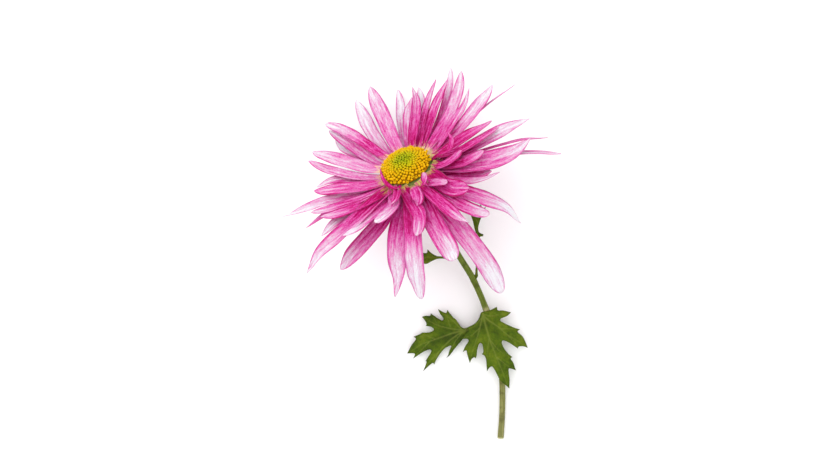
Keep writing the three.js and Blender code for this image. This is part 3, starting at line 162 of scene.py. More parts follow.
LEAVES = {
    'leaf_right': {"rib": [[30.31, -36.74], [41.1, -67.88]], "lift": -34.6, "rise": -0.9, "droop": 0.00928, "thickness": 0.6, "tone": 0.66,
     "outline": [[29.95, -36.17], [32.92, -35.8], [36.07, -34.13], [36.26, -35.8], [38.85, -35.61], [42.0, -36.54], [40.33, -38.2], [37.74, -38.95], [37.37, -40.06], [40.33, -41.54], [43.67, -43.02], [45.71, -43.58], [44.41, -44.51], [46.63, -46.18], [47.75, -48.03], [49.04, -51.36], [47.38, -50.62], [45.15, -50.62], [44.78, -51.55], [42.93, -50.25], [40.33, -48.58], [38.48, -48.03], [37.92, -48.96], [39.22, -51.74], [41.07, -53.96], [42.56, -55.07], [41.63, -55.63], [42.93, -57.3], [43.48, -59.15], [44.04, -60.63], [42.19, -59.89], [40.89, -59.71], [41.07, -62.12], [41.44, -64.34], [41.26, -68.23], [39.96, -66.93], [37.37, -64.9], [36.26, -62.49], [35.14, -60.26], [34.03, -58.78], [32.92, -59.52], [31.99, -61.0], [31.81, -58.78], [31.62, -55.81], [30.88, -54.33], [29.77, -53.89], [30.51, -53.22], [30.32, -50.99], [29.95, -49.51], [29.21, -49.07], [28.47, -49.88], [27.91, -52.11], [27.73, -54.7], [27.36, -55.63], [26.62, -55.07], [25.5, -56.0], [24.87, -57.67], [24.21, -55.44], [23.65, -53.59], [23.47, -52.11], [21.98, -53.03], [22.72, -50.99], [23.65, -49.51], [24.39, -48.4], [24.21, -47.66], [23.28, -47.47], [21.43, -47.66], [22.54, -46.18], [24.39, -44.14], [24.58, -43.21], [22.35, -43.21], [24.02, -42.65], [26.62, -41.36], [28.1, -39.87], [28.84, -38.39], [29.21, -36.91]],
     "veins": [[[[30.14, -36.91], [31.44, -42.1], [32.92, -47.29], [35.88, -55.07], [38.85, -62.12], [40.52, -66.93]], 0.42], [[[30.51, -38.02], [33.29, -40.24], [36.63, -42.47], [40.33, -45.8], [44.78, -48.4], [48.12, -50.62]], 0.36], [[[30.14, -38.02], [28.47, -45.06], [27.17, -49.14], [25.32, -54.7]], 0.34], [[[30.69, -37.46], [33.66, -38.02], [37.74, -37.28], [41.07, -36.72]], 0.2], [[[29.77, -38.76], [26.99, -42.1], [24.39, -43.58]], 0.2], [[[29.03, -42.84], [25.5, -46.18], [22.54, -46.92]], 0.2], [[[33.29, -48.03], [36.63, -52.11], [41.44, -55.07]], 0.2], [[[36.07, -55.07], [39.59, -58.04], [43.3, -60.08]], 0.2], [[[32.92, -47.29], [31.99, -53.59], [31.99, -58.78]], 0.2], [[[37.74, -43.21], [41.82, -43.21], [44.78, -43.58]], 0.18], [[[40.33, -45.8], [43.67, -49.14], [44.78, -50.99]], 0.17]]},
    'leaf_left': {"rib": [[30.82, -38.53], [-0.83, -53.1]], "lift": -37.6, "rise": -0.6, "droop": 0.00749, "thickness": 0.6, "tone": 0.56,
     "outline": [[21.49, -42.97], [20.01, -40.74], [19.08, -39.44], [18.15, -38.88], [16.66, -37.02], [15.54, -35.54], [15.17, -37.02], [13.69, -36.47], [11.64, -35.17], [12.38, -37.02], [13.5, -38.51], [14.06, -39.26], [13.5, -40.19], [11.83, -39.26], [9.97, -37.95], [8.66, -37.02], [8.48, -38.14], [6.62, -37.95], [4.95, -38.51], [6.25, -40.0], [6.99, -41.49], [6.62, -42.23], [8.85, -42.6], [9.97, -43.35], [9.78, -44.28], [7.74, -45.02], [4.76, -45.02], [4.39, -45.58], [1.41, -46.77], [2.53, -47.44], [2.16, -48.37], [0.67, -50.04], [-0.45, -52.27], [-1.19, -53.76], [0.67, -53.57], [2.34, -53.76], [1.23, -55.99], [3.27, -54.5], [6.25, -52.64], [8.48, -51.9], [9.04, -52.83], [7.74, -54.87], [6.43, -56.92], [6.99, -57.11], [6.25, -59.34], [5.32, -61.38], [7.36, -59.34], [9.59, -57.48], [10.15, -58.41], [10.71, -56.73], [12.57, -53.76], [14.43, -51.53], [16.66, -50.41], [17.4, -50.6], [16.29, -52.64], [15.92, -54.5], [14.99, -55.8], [16.66, -54.5], [18.52, -51.9], [20.01, -50.04], [21.12, -48.92], [21.87, -47.81], [22.91, -46.86], [24.99, -44.98], [27.49, -42.69], [31.07, -39.15], [31.07, -37.94], [28.32, -40.61], [25.82, -42.48], [23.74, -43.53]],
     "veins": [[[[24.1, -43.9], [20.38, -44.54], [16.66, -45.58], [10.71, -47.81], [5.13, -49.67], [-0.26, -53.2]], 0.4], [[[23.35, -43.9], [19.64, -43.72], [16.66, -43.35], [11.83, -42.23], [6.99, -39.63], [5.32, -38.7]], 0.34], [[[23.17, -44.28], [19.64, -45.95], [16.66, -48.18], [13.31, -51.53], [10.71, -54.5], [7.74, -57.48], [5.69, -60.82]], 0.34], [[[21.49, -43.72], [18.89, -41.12], [15.92, -38.51], [11.83, -35.35]], 0.22], [[[16.66, -42.6], [15.54, -38.88], [15.43, -35.91]], 0.16], [[[21.49, -45.21], [18.89, -48.55], [15.36, -55.25]], 0.2], [[[10.71, -47.81], [6.99, -46.32], [1.79, -46.88]], 0.2], [[[8.11, -48.74], [4.76, -52.27], [1.41, -55.62]], 0.18], [[[11.83, -42.23], [9.97, -38.88], [8.66, -37.4]], 0.16], [[[11.83, -53.39], [10.71, -55.62], [10.15, -57.85]], 0.15]]},
    'upper_leaf_left': {"rib": [[18.63, -13.46], [0.41, -13.87]], "lift": -32.0, "rise": -2.6, "droop": 0.02333, "thickness": 0.5, "tone": 0.6,
     "outline": [[18.22, -13.13], [16.56, -13.54], [13.66, -13.17], [11.18, -13.17], [8.9, -11.88], [7.25, -10.27], [7.04, -12.01], [4.97, -11.59], [2.48, -11.18], [3.31, -12.63], [0.41, -13.66], [3.73, -14.49], [1.66, -16.35], [4.55, -15.73], [6.62, -16.6], [8.9, -15.28], [11.18, -14.2], [13.66, -14.12], [16.56, -14.53], [18.72, -13.95]],
     "veins": [[[[18.63, -13.54], [13.66, -13.62], [8.7, -13.66], [1.66, -13.66]], 0.3], [[[9.94, -13.66], [8.28, -12.21], [7.45, -10.56]], 0.16], [[[6.62, -13.66], [4.14, -15.11], [2.07, -16.15]], 0.15]]},
    'upper_leaf_right': {"rib": [[27.38, -20.53], [28.62, 10.16]], "lift": -33.8, "rise": -2.0, "droop": 0.02324, "thickness": 0.5, "tone": 0.6,
     "outline": [[26.72, -23.44], [26.63, -21.94], [27.09, -20.12], [27.21, -18.05], [27.5, -13.9], [27.63, -8.09], [27.71, -4.77], [26.8, -1.87], [26.13, 1.45], [25.1, 4.36], [26.55, 4.56], [27.05, 7.26], [28.21, 5.81], [29.45, 8.5], [30.12, 6.43], [31.53, 7.47], [30.82, 5.19], [29.2, 2.07], [28.17, -1.62], [28.79, -3.53], [30.49, -4.02], [30.37, -4.85], [28.79, -5.1], [28.58, -8.09], [28.42, -13.9], [28.08, -18.05], [28.04, -20.12], [28.33, -21.61]],
     "veins": [[[[27.38, -20.53], [27.75, -13.9], [27.96, -6.43], [28.21, 1.04], [29.04, 9.33]], 0.3], [[[28.0, -5.6], [29.45, -4.98], [30.7, -4.77]], 0.15], [[[28.04, 1.04], [26.13, 4.36], [24.89, 5.19]], 0.15]]},
}


# ---------- helpers ----------
def curve_at(points, ts):
    P = np.asarray(points, float)
    n = len(P)
    ts = np.clip(np.atleast_1d(ts), 0, 1)
    p = (n - 1) * ts
    i = np.minimum(p.astype(int), n - 2)
    w = (p - i)[:, None]
    ext = np.vstack([2 * P[0] - P[1], P, 2 * P[-1] - P[-2]])
    p0, p1, p2, p3 = ext[i], ext[i + 1], ext[i + 2], ext[i + 3]
    v0, v1 = (p2 - p0) * 0.5, (p3 - p1) * 0.5
    return p1 + v0 * w + (-3 * p1 + 3 * p2 - 2 * v0 - v1) * w**2 + (2 * p1 - 2 * p2 + v0 + v1) * w**3


def unit(a):
    return a / np.maximum(np.linalg.norm(a, axis=-1, keepdims=True), 1e-12)


def smooth(x, a, b):
    x = np.clip((x - a) / (b - a), 0, 1)
    return x * x * (3 - 2 * x)


def lay_down(points):
    return (np.asarray(points) @ LAY_R.T + LAY_T) * MM


def signed_volume(v, tris):
    a, b, c = v[tris[:, 0]], v[tris[:, 1]], v[tris[:, 2]]
    return float(np.einsum("ij,ij->i", a, np.cross(b, c)).sum() / 6)


def build(name, verts, faces, attrs, material, node, flat=False):
    """One closed piece from growth-frame points in mm."""
    verts = lay_down(verts)
    tris = np.array([(f[0], f[k], f[k + 1]) for f in faces for k in range(1, len(f) - 1)])
    if signed_volume(verts - verts.mean(0), tris) < 0:
        faces = [tuple(reversed(f)) for f in faces]
    mesh = bpy.data.meshes.new(name)
    mesh.from_pydata(verts.tolist(), [], [tuple(int(i) for i in f) for f in faces])
    for key, values in attrs.items():
        a = mesh.attributes.new(key, "FLOAT", "POINT")
        a.data.foreach_set("value", np.asarray(values, np.float32))
    mesh.polygons.foreach_set("use_smooth", [not flat] * len(mesh.polygons))
    mesh.validate(verbose=False)
    mesh.update()
    ob = bpy.data.objects.new(name, mesh)
    bpy.context.scene.collection.objects.link(ob)
    ob.data.materials.append(material)
    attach(ob, "root")
    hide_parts(node)
    return ob


def ring_faces(rows, n, base=0, cap_start=None, cap_end=None):
    f = []
    for r in range(rows - 1):
        for k in range(n):
            a, b = base + r * n + k, base + r * n + (k + 1) % n
            f.append((a, b, b + n, a + n))
    if cap_start is not None:
        f += [(cap_start, base + (k + 1) % n, base + k) for k in range(n)]
    if cap_end is not None:
        o = base + (rows - 1) * n
        f += [(cap_end, o + k, o + (k + 1) % n) for k in range(n)]
    return f


LIT = 1.25  # how much brighter than its own colour a surface facing the light comes out


def srgb(r, g, b):
    def lin(c):
        c = c / 255
        return (c / 12.92 if c <= 0.04045 else ((c + 0.055) / 1.055) ** 2.4) / LIT
    return (lin(r), lin(g), lin(b), 1.0)


class Nodes:
    def __init__(self, name):
        self.mat = bpy.data.materials.new(name)
        self.mat.use_nodes = True
        self.t = self.mat.node_tree
        self.t.nodes.clear()
        self.out = self.t.nodes.new("ShaderNodeOutputMaterial")
        self.bsdf = self.t.nodes.new("ShaderNodeBsdfPrincipled")
        self.t.links.new(self.bsdf.outputs[0], self.out.inputs[0])

    def new(self, kind, **props):
        n = self.t.nodes.new(kind)
        for k, v in props.items():
            setattr(n, k, v)
        return n

    def link(self, a, b):
        self.t.links.new(a, b)

    def attr(self, name):
        return self.new("ShaderNodeAttribute", attribute_name=name).outputs["Fac"]

    def math(self, op, a, b=None, c=None, clamp=False):
        n = self.new("ShaderNodeMath", operation=op, use_clamp=clamp)
        for i, v in enumerate((a, b, c)):
            if v is None:
                continue
            if isinstance(v, (int, float)):
                n.inputs[i].default_value = v
            else:
                self.link(v, n.inputs[i])
        return n.outputs[0]

    def combine(self, x, y, z):
        n = self.new("ShaderNodeCombineXYZ")
        for i, v in enumerate((x, y, z)):
            if isinstance(v, (int, float)):
                n.inputs[i].default_value = v
            else:
                self.link(v, n.inputs[i])
        return n.outputs[0]

    def noise(self, vec, scale, detail=3.0, rough=0.55):
        n = self.new("ShaderNodeTexNoise")
        n.inputs["Scale"].default_value = scale
        n.inputs["Detail"].default_value = detail
        n.inputs["Roughness"].default_value = rough
        self.link(vec, n.inputs["Vector"])
        return n.outputs["Fac"]

    def ramp(self, fac, stops, interp="LINEAR"):
        n = self.new("ShaderNodeValToRGB")
        n.color_ramp.interpolation = interp
        e = n.color_ramp.elements
        while len(e) < len(stops):
            e.new(0.5)
        for k, (pos, col) in enumerate(stops):
            e[k].position = pos
            e[k].color = col
        self.link(fac, n.inputs[0])
        return n.outputs[0]

    def mix(self, fac, a, b, mode="MIX"):
        n = self.new("ShaderNodeMix", data_type="RGBA", blend_type=mode)
        if isinstance(fac, (int, float)):
            n.inputs[0].default_value = fac
        else:
            self.link(fac, n.inputs[0])
        for i, v in ((6, a), (7, b)):
            if isinstance(v, tuple):
                n.inputs[i].default_value = v
            else:
                self.link(v, n.inputs[i])
        return n.outputs[2]

    def smoothstep(self, v, lo, hi):
        n = self.new("ShaderNodeMapRange", interpolation_type="SMOOTHSTEP")
        self.link(v, n.inputs[0])
        n.inputs[1].default_value = lo
        n.inputs[2].default_value = hi
        return n.outputs[0]

    def bump(self, height, strength, distance):
        n = self.new("ShaderNodeBump")
        n.inputs["Strength"].default_value = strength
        n.inputs["Distance"].default_value = distance
        self.link(height, n.inputs["Height"])
        self.link(n.outputs[0], self.bsdf.inputs["Normal"])


# ---------- materials ----------
def floret_material():
    m = Nodes("ray_floret")
    along, across, seed, pale_with_shade, face = (m.attr(k) for k in ("along", "across", "seed", "pale_with_shade", "face"))
    mml, mmx, creamy = m.attr("mm_along"), m.attr("mm_across"), m.attr("cream")
    off = m.math("MULTIPLY", seed, 57.0)
    # long stripes, finer lines and short dashes, all in millimetres
    stripe = m.noise(m.combine(m.math("ADD", mmx, off), m.math("MULTIPLY", mml, 0.075), off), 1.15, 2.0, 0.55)
    line = m.noise(m.combine(m.math("ADD", mmx, off), m.math("MULTIPLY", mml, 0.11), off), 3.2, 2.0, 0.6)
    dash = m.noise(m.combine(m.math("ADD", mmx, off), m.math("MULTIPLY", mml, 0.42), off), 3.6, 2.0, 0.65)
    au = m.math("ABSOLUTE", across)
    margin = m.smoothstep(au, 0.5, 0.97)
    # painted shade: darker lines in the creases between the lengthwise ridges
    crease_shade = m.math("MULTIPLY_ADD", m.math("COSINE", m.math("MULTIPLY", across, 3 * math.pi)), -0.5, 0.5)
    outer = m.smoothstep(along, 0.35, 0.9)
    # the per-floret paleness carries painted shade along with the petal's own colour; the stripes, lines and dashes are
    # its own
    p = m.math("ADD", pale_with_shade, m.math("MULTIPLY", m.math("SUBTRACT", stripe, 0.5), 0.95))
    p = m.math("ADD", p, m.math("MULTIPLY", m.math("SUBTRACT", line, 0.5), 0.72))
    p = m.math("ADD", p, m.math("MULTIPLY", m.math("SUBTRACT", dash, 0.5), 0.62))
    p = m.math("SUBTRACT", p, m.math("MULTIPLY", crease_shade, 0.10))
    p = m.math("SUBTRACT", p, m.math("MULTIPLY", margin, m.math("MULTIPLY_ADD", outer, 0.26, 0.06)))
    p = m.math("ADD", p, m.math("MULTIPLY", m.math("SUBTRACT", 1.0, au), m.math("MULTIPLY", outer, 0.20)))
    p = m.math("ADD", p, 0.04)
    under = m.math("SUBTRACT", 1.0, face)
    p = m.math("ADD", p, m.math("MULTIPLY", under, 0.06), clamp=True)
    col = m.ramp(p, [(0.0, srgb(176, 0, 90)), (0.08, srgb(197, 14, 113)), (0.22, srgb(214, 54, 148)), (0.38, srgb(223, 98, 175)), (0.52, srgb(228, 138, 194)), (0.70, srgb(229, 183, 212)), (0.82, srgb(231, 210, 227)), (1.0, srgb(240, 238, 243))])
    cream = m.math("SUBTRACT", 1.0, m.smoothstep(m.math("ADD", along, m.math("ADD", m.math("MULTIPLY", m.math("SUBTRACT", line, 0.5), 0.42), m.math("MULTIPLY", m.attr("leafy"), 0.035))), 0.0, 0.115))
    col = m.mix(m.math("MULTIPLY", cream, creamy), col, m.mix(m.attr("leafy"), srgb(250, 230, 168), srgb(190, 194, 40)))
    rim = m.math("MAXIMUM", m.smoothstep(au, 0.88, 1.0), m.smoothstep(along, 0.972, 0.998))
    col = m.mix(m.math("MULTIPLY", rim, 0.28), col, srgb(204, 140, 178))
    m.link(col, m.bsdf.inputs["Base Color"])
    m.bsdf.inputs["Roughness"].default_value = 0.6
    m.bsdf.inputs["Specular IOR Level"].default_value = 0.06
    m.bsdf.inputs["Subsurface Weight"].default_value = 0.25
    m.bsdf.inputs["Subsurface Radius"].default_value = (1.0, 0.4, 0.7)
    m.bsdf.inputs["Subsurface Scale"].default_value = 0.0004
    m.bump(m.math("ADD", line, m.math("MULTIPLY", dash, 0.5)), 0.45, 0.00022)
    return m.mat


def disc_material():
    m = Nodes("disc_florets")
    ring, high, seed = m.attr("ring"), m.attr("high"), m.attr("seed")
    f = m.math("ADD", ring, m.math("MULTIPLY", m.math("SUBTRACT", seed, 0.5), 0.16), clamp=True)
    col = m.ramp(f, [(0.0, srgb(140, 158, 10)), (0.2, srgb(170, 178, 10)), (0.42, srgb(206, 190, 10)), (0.64, srgb(230, 184, 8)), (0.85, srgb(240, 185, 8)), (1.0, srgb(248, 194, 14))])
    # painted shade: a darker, browner colour low on each tube and on the dome between the tubes, where shade falls in
    # the gaps
    low = m.ramp(f, [(0.0, srgb(142, 150, 8)), (0.45, srgb(164, 140, 3)), (1.0, srgb(188, 130, 2))])
    col = m.mix(m.smoothstep(high, 0.12, 0.62), low, col)
    m.link(col, m.bsdf.inputs["Base Color"])
    m.bsdf.inputs["Roughness"].default_value = 0.6
    m.bsdf.inputs["Specular IOR Level"].default_value = 0.06
    m.bsdf.inputs["Subsurface Weight"].default_value = 0.3
    m.bsdf.inputs["Subsurface Radius"].default_value = (1.0, 0.7, 0.1)
    m.bsdf.inputs["Subsurface Scale"].default_value = 0.0008
    tex = m.new("ShaderNodeTexCoord").outputs["Object"]
    m.bump(m.noise(tex, 2600.0, 2.0, 0.5), 0.25, 0.0001)
    return m.mat


def stem_material():
    m = Nodes("stem")
    along, around, cut, node = (m.attr(k) for k in ("along", "around", "cut", "node"))
    st = m.noise(m.combine(m.math("MULTIPLY", around, 4.0), m.math("MULTIPLY", along, 5.0), 0.3), 3.0, 3.0, 0.6)
    blot = m.noise(m.combine(around, m.math("MULTIPLY", along, 26.0), 0.7), 2.4, 3.0, 0.6)
    a = m.ramp(along, [(0.0, srgb(105, 132, 45)), (0.45, srgb(98, 117, 38)), (0.62, srgb(98, 111, 32)), (0.72, srgb(111, 118, 49)), (1.0, srgb(132, 132, 79))])
    b = m.ramp(along, [(0.0, srgb(132, 156, 70)), (0.5, srgb(124, 137, 58)), (1.0, srgb(158, 154, 98))])
    c = m.ramp(along, [(0.0, srgb(79, 103, 26)), (0.6, srgb(75, 79, 21)), (1.0, srgb(98, 96, 53))])
    col = m.mix(m.smoothstep(st, 0.42, 0.66), a, b)
    col = m.mix(m.math("MULTIPLY", m.smoothstep(blot, 0.48, 0.70), 0.7), col, c)
    # pale mark at the stem node, and painted light in a ring at the top just under the disc
    col = m.mix(node, col, srgb(206, 200, 140))
    col = m.mix(cut, col, srgb(214, 214, 164))
    m.link(col, m.bsdf.inputs["Base Color"])
    m.bsdf.inputs["Roughness"].default_value = 0.6
    m.bsdf.inputs["Specular IOR Level"].default_value = 0.12
    m.bsdf.inputs["Subsurface Weight"].default_value = 0.06
    m.bsdf.inputs["Subsurface Scale"].default_value = 0.0005
    m.bump(m.math("ADD", st, m.math("MULTIPLY", blot, 0.3)), 0.4, 0.00015)
    return m.mat


def bract_material():
    m = Nodes("involucre_bract")
    along, across, seed = m.attr("along"), m.attr("across"), m.attr("seed")
    v = m.noise(m.combine(m.math("MULTIPLY_ADD", across, 2.0, m.math("MULTIPLY", seed, 19.0)), m.math("MULTIPLY", along, 1.4), seed), 3.0, 3.0, 0.6)
    col = m.mix(v, srgb(84, 112, 34), srgb(124, 148, 62))
    rim = m.math("MAXIMUM", m.smoothstep(m.math("ABSOLUTE", across), 0.62, 0.95), m.smoothstep(along, 0.82, 0.99))
    col = m.mix(m.math("MULTIPLY", rim, 0.8), col, srgb(176, 168, 112))
    m.link(col, m.bsdf.inputs["Base Color"])
    m.bsdf.inputs["Roughness"].default_value = 0.6
    m.bsdf.inputs["Specular IOR Level"].default_value = 0.3
    m.bump(v, 0.3, 0.00015)
    return m.mat


def leaf_material():
    m = Nodes("leaf")
    vein, rim, tone, px, py, face = (m.attr(k) for k in ("vein", "rim", "tone", "px", "py", "face"))
    here = m.combine(px, py, tone)
    big = m.noise(here, 0.16, 3.0, 0.55)
    mid = m.noise(here, 0.9, 3.0, 0.6)
    net = m.new("ShaderNodeTexVoronoi", feature="DISTANCE_TO_EDGE")
    m.link(here, net.inputs["Vector"])
    net.inputs["Scale"].default_value = 1.1
    lines = m.math("SUBTRACT", 1.0, m.smoothstep(net.outputs["Distance"], 0.0, 0.09))
    g = m.math("ADD", m.math("MULTIPLY", big, 1.7), m.math("MULTIPLY", mid, 0.7))
    g = m.math("ADD", g, m.math("SUBTRACT", tone, 1.20), clamp=True)
    col = m.ramp(g, [(0.0, srgb(38, 54, 1)), (0.35, srgb(60, 82, 2)), (0.65, srgb(82, 106, 4)), (1.0, srgb(110, 128, 20))])
    col = m.mix(m.math("MULTIPLY", lines, 0.16), col, srgb(118, 138, 36))
    col = m.mix(m.math("MULTIPLY", rim, 0.35), col, srgb(50, 68, 8))
    col = m.mix(m.math("MULTIPLY", vein, 0.52), col, srgb(144, 154, 68))
    col = m.mix(m.math("MULTIPLY", m.math("SUBTRACT", 1.0, face), 0.35), col, srgb(128, 148, 92))
    m.link(col, m.bsdf.inputs["Base Color"])
    m.bsdf.inputs["Roughness"].default_value = 0.55
    m.bsdf.inputs["Specular IOR Level"].default_value = 0.12
    m.bsdf.inputs["Subsurface Weight"].default_value = 0.08
    m.bsdf.inputs["Subsurface Scale"].default_value = 0.0006
    h = m.math("SUBTRACT", m.math("MULTIPLY", mid, 0.6), m.math("MULTIPLY", lines, 0.25))
    m.bump(h, 0.35, 0.0003)
    return m.mat


FLORET, DISC, STEMM, BRACT, LEAF = floret_material(), disc_material(), stem_material(), bract_material(), leaf_material()


# ---------- ray florets ----------
def half_width(t, tip):
    body = np.interp(t, [0, 0.03, 0.12, 0.25, 0.40, 0.55, 0.70, 1.0], [0.62, 0.68, 0.79, 0.90, 0.96, 0.99, 1.0, 1.0])
    if tip == "r":
        x = np.clip((t - 0.78) / 0.22, 0, 1)
        end = np.sqrt(np.maximum(1 - x**2, 0))
    elif tip == "o":
        x = np.clip((t - 0.66) / 0.34, 0, 1)
        end = np.maximum(1 - x**2.2, 0) ** 0.75
    else:
        x = np.clip((t - 0.56) / 0.44, 0, 1)
        end = 1 - x**2.1
    return body * end


def floret(row):
    name, mid, width, roll, twist, tip, trough, pale_shade_low, pale_shade_mid, pale_shade_tip, creamy, leafy = row
    seed = float(rng.random())
    nt, nu = 64, 15
    # stations closer together at the tip
    q = np.linspace(0, 1, nt)
    ts = 0.0 + (1 - (1 - q) ** 1.45) * 1.0
    ts[-1] = 0.9985
    P = curve_at(mid, ts)
    T = unit(curve_at(mid, np.minimum(ts + 2e-3, 1)) - curve_at(mid, np.maximum(ts - 2e-3, 0)))
    N = unit(HEAD_AXIS - (T @ HEAD_AXIS)[:, None] * T)
    S = np.cross(N, T)
    ang = np.radians(roll * smooth(ts, 0.08, 0.45) + twist * np.clip(ts - 0.45, 0, 1) / 0.55)
    ang = ang + np.radians(6) * (rng.random() - 0.5) * smooth(ts, 0.3, 1)
    n = N * np.cos(ang)[:, None] + S * np.sin(ang)[:, None]
    b = S * np.cos(ang)[:, None] - N * np.sin(ang)[:, None]
    half = width / 2 * half_width(ts, tip)
    length = float(np.linalg.norm(np.diff(P, axis=0), axis=1).sum())
    ph = rng.random(6) * 2 * math.pi
    wob = 1 + 0.02 * np.sin(ts * 9 + ph[0]) + 0.012 * np.sin(ts * 23 + ph[1])
    u = np.linspace(-1, 1, nu)
    ch = trough * (1.35 - 0.75 * ts) + 0.25 * (1 - smooth(ts, 0.02, 0.22))
    base = half[:, None] * ch[:, None] * (u[None, :] ** 2 - 0.35)
    amp = 0.15 * width / 6 * smooth(ts, 0.08, 0.3) * (1 - 0.75 * smooth(ts, 0.8, 1.0))
    ridge = amp[:, None] * np.cos(math.pi * 3.0 * u + 0.4 * math.sin(ph[2]))[None, :] * (1 - u[None, :] ** 6)
    wave = (0.16 * np.sin(ts * 11 + ph[3]) + 0.1 * np.sin(ts * 19 + ph[4]))[:, None] * smooth(ts, 0.2, 0.7)[:, None] * np.abs(u[None, :]) ** 3 * np.sign(u)[None, :] * width / 8
    wave2 = (0.12 * np.sin(ts * 13 + ph[5]))[:, None] * smooth(ts, 0.2, 0.7)[:, None] * u[None, :] ** 4 * width / 8
    curl = (0.35 * smooth(ts, 0.86, 1.0) ** 2 * width / 8)[:, None]
    if length < 10:
        ridge, wave, wave2, curl = ridge * 0.3, wave * 0.0, wave2 * 0.0, curl * 0.0
    off = base + ridge + wave + wave2 + curl
    # a small notch in a rounded tip
    notch = np.zeros((nt, nu))
    if tip == "r" and width > 4.2 and length > 16:
        k = 0.18 * width / 8
        d1 = np.exp(-((u - 0.30 * math.sin(ph[0])) / 0.16) ** 2)
        notch = -(k * 1.6) * smooth(ts, 0.93, 1.0)[:, None] * d1[None, :]
    th = (0.30 - 0.10 * ts)[:, None] * np.sqrt(np.maximum(1 - u[None, :] ** 4, 0)) / 2
    side = b[:, None, :] * (half * wob)[:, None, None] * u[None, :, None]
    core = P[:, None, :] + side + T[:, None, :] * notch[:, :, None]
    top = core + n[:, None, :] * (off + th)[:, :, None]
    bot = core + n[:, None, :] * (off - th)[:, :, None]
    ring = np.concatenate([top, bot[:, -2:0:-1]], axis=1)
    k = ring.shape[1]
    uu = np.concatenate([u, u[-2:0:-1]])
    face = np.concatenate([np.ones(nu), np.zeros(nu - 2)])
    face[0] = face[nu - 1] = 0.5
    verts = ring.reshape(-1, 3)
    a_end = (top[-1].mean(0) + bot[-1].mean(0)) / 2 + T[-1] * 0.05
    verts = np.vstack([verts, P[0] + n[0] * off[0].mean() - T[0] * 0.1, a_end])
    faces = ring_faces(nt, k, 0, len(verts) - 2, len(verts) - 1)
    # paleness along the blade from the floret's three values, which carry painted shade as well as the petal's own
    # colour
    pale_with_shade = np.interp(ts, [0.0, 0.12, 0.32, 0.65, 0.90, 1.0], [pale_shade_low - 0.02, pale_shade_low - 0.06, pale_shade_low, pale_shade_mid, pale_shade_tip, pale_shade_tip + 0.05])
    rep = lambda a: np.r_[np.repeat(a, k), a[0], a[-1]]
    til = lambda a: np.r_[np.tile(a, nt), 0.0, 0.0]
    attrs = {"along": rep(ts), "across": til(uu), "seed": np.full(len(verts), seed), "pale_with_shade": rep(pale_with_shade), "face": np.r_[np.tile(face, nt), 1.0, 1.0]}
    mx = half[:, None] * uu[None, :]
    attrs["mm_along"] = rep(ts * length)
    attrs["mm_across"] = np.r_[mx.ravel(), 0.0, 0.0]
    attrs["cream"] = np.full(len(verts), creamy)
    attrs["leafy"] = np.full(len(verts), leafy)
    return build(name + "_blade", verts, faces, attrs, FLORET, name)


for row in FLORETS:
    floret(row)


# ---------- disc ----------
def dome(r):
    return np.interp(r, [0, 2.6, 5.2, 7.6, 9.3, 10.1, 10.6], [4.35, 4.15, 3.5, 2.4, 1.1, 0.1, -0.9])


def dome_frame(r, a):
    p = HEAD_CENTRE + r * (math.cos(a) * E1 + math.sin(a) * E2) + float(dome(r)) * HEAD_AXIS
    slope = float((dome(r + 0.15) - dome(max(r - 0.15, 0))) / (0.15 + min(r, 0.15)))
    out = math.cos(a) * E1 + math.sin(a) * E2
    nrm = unit(HEAD_AXIS - slope * out)
    return p, nrm, out


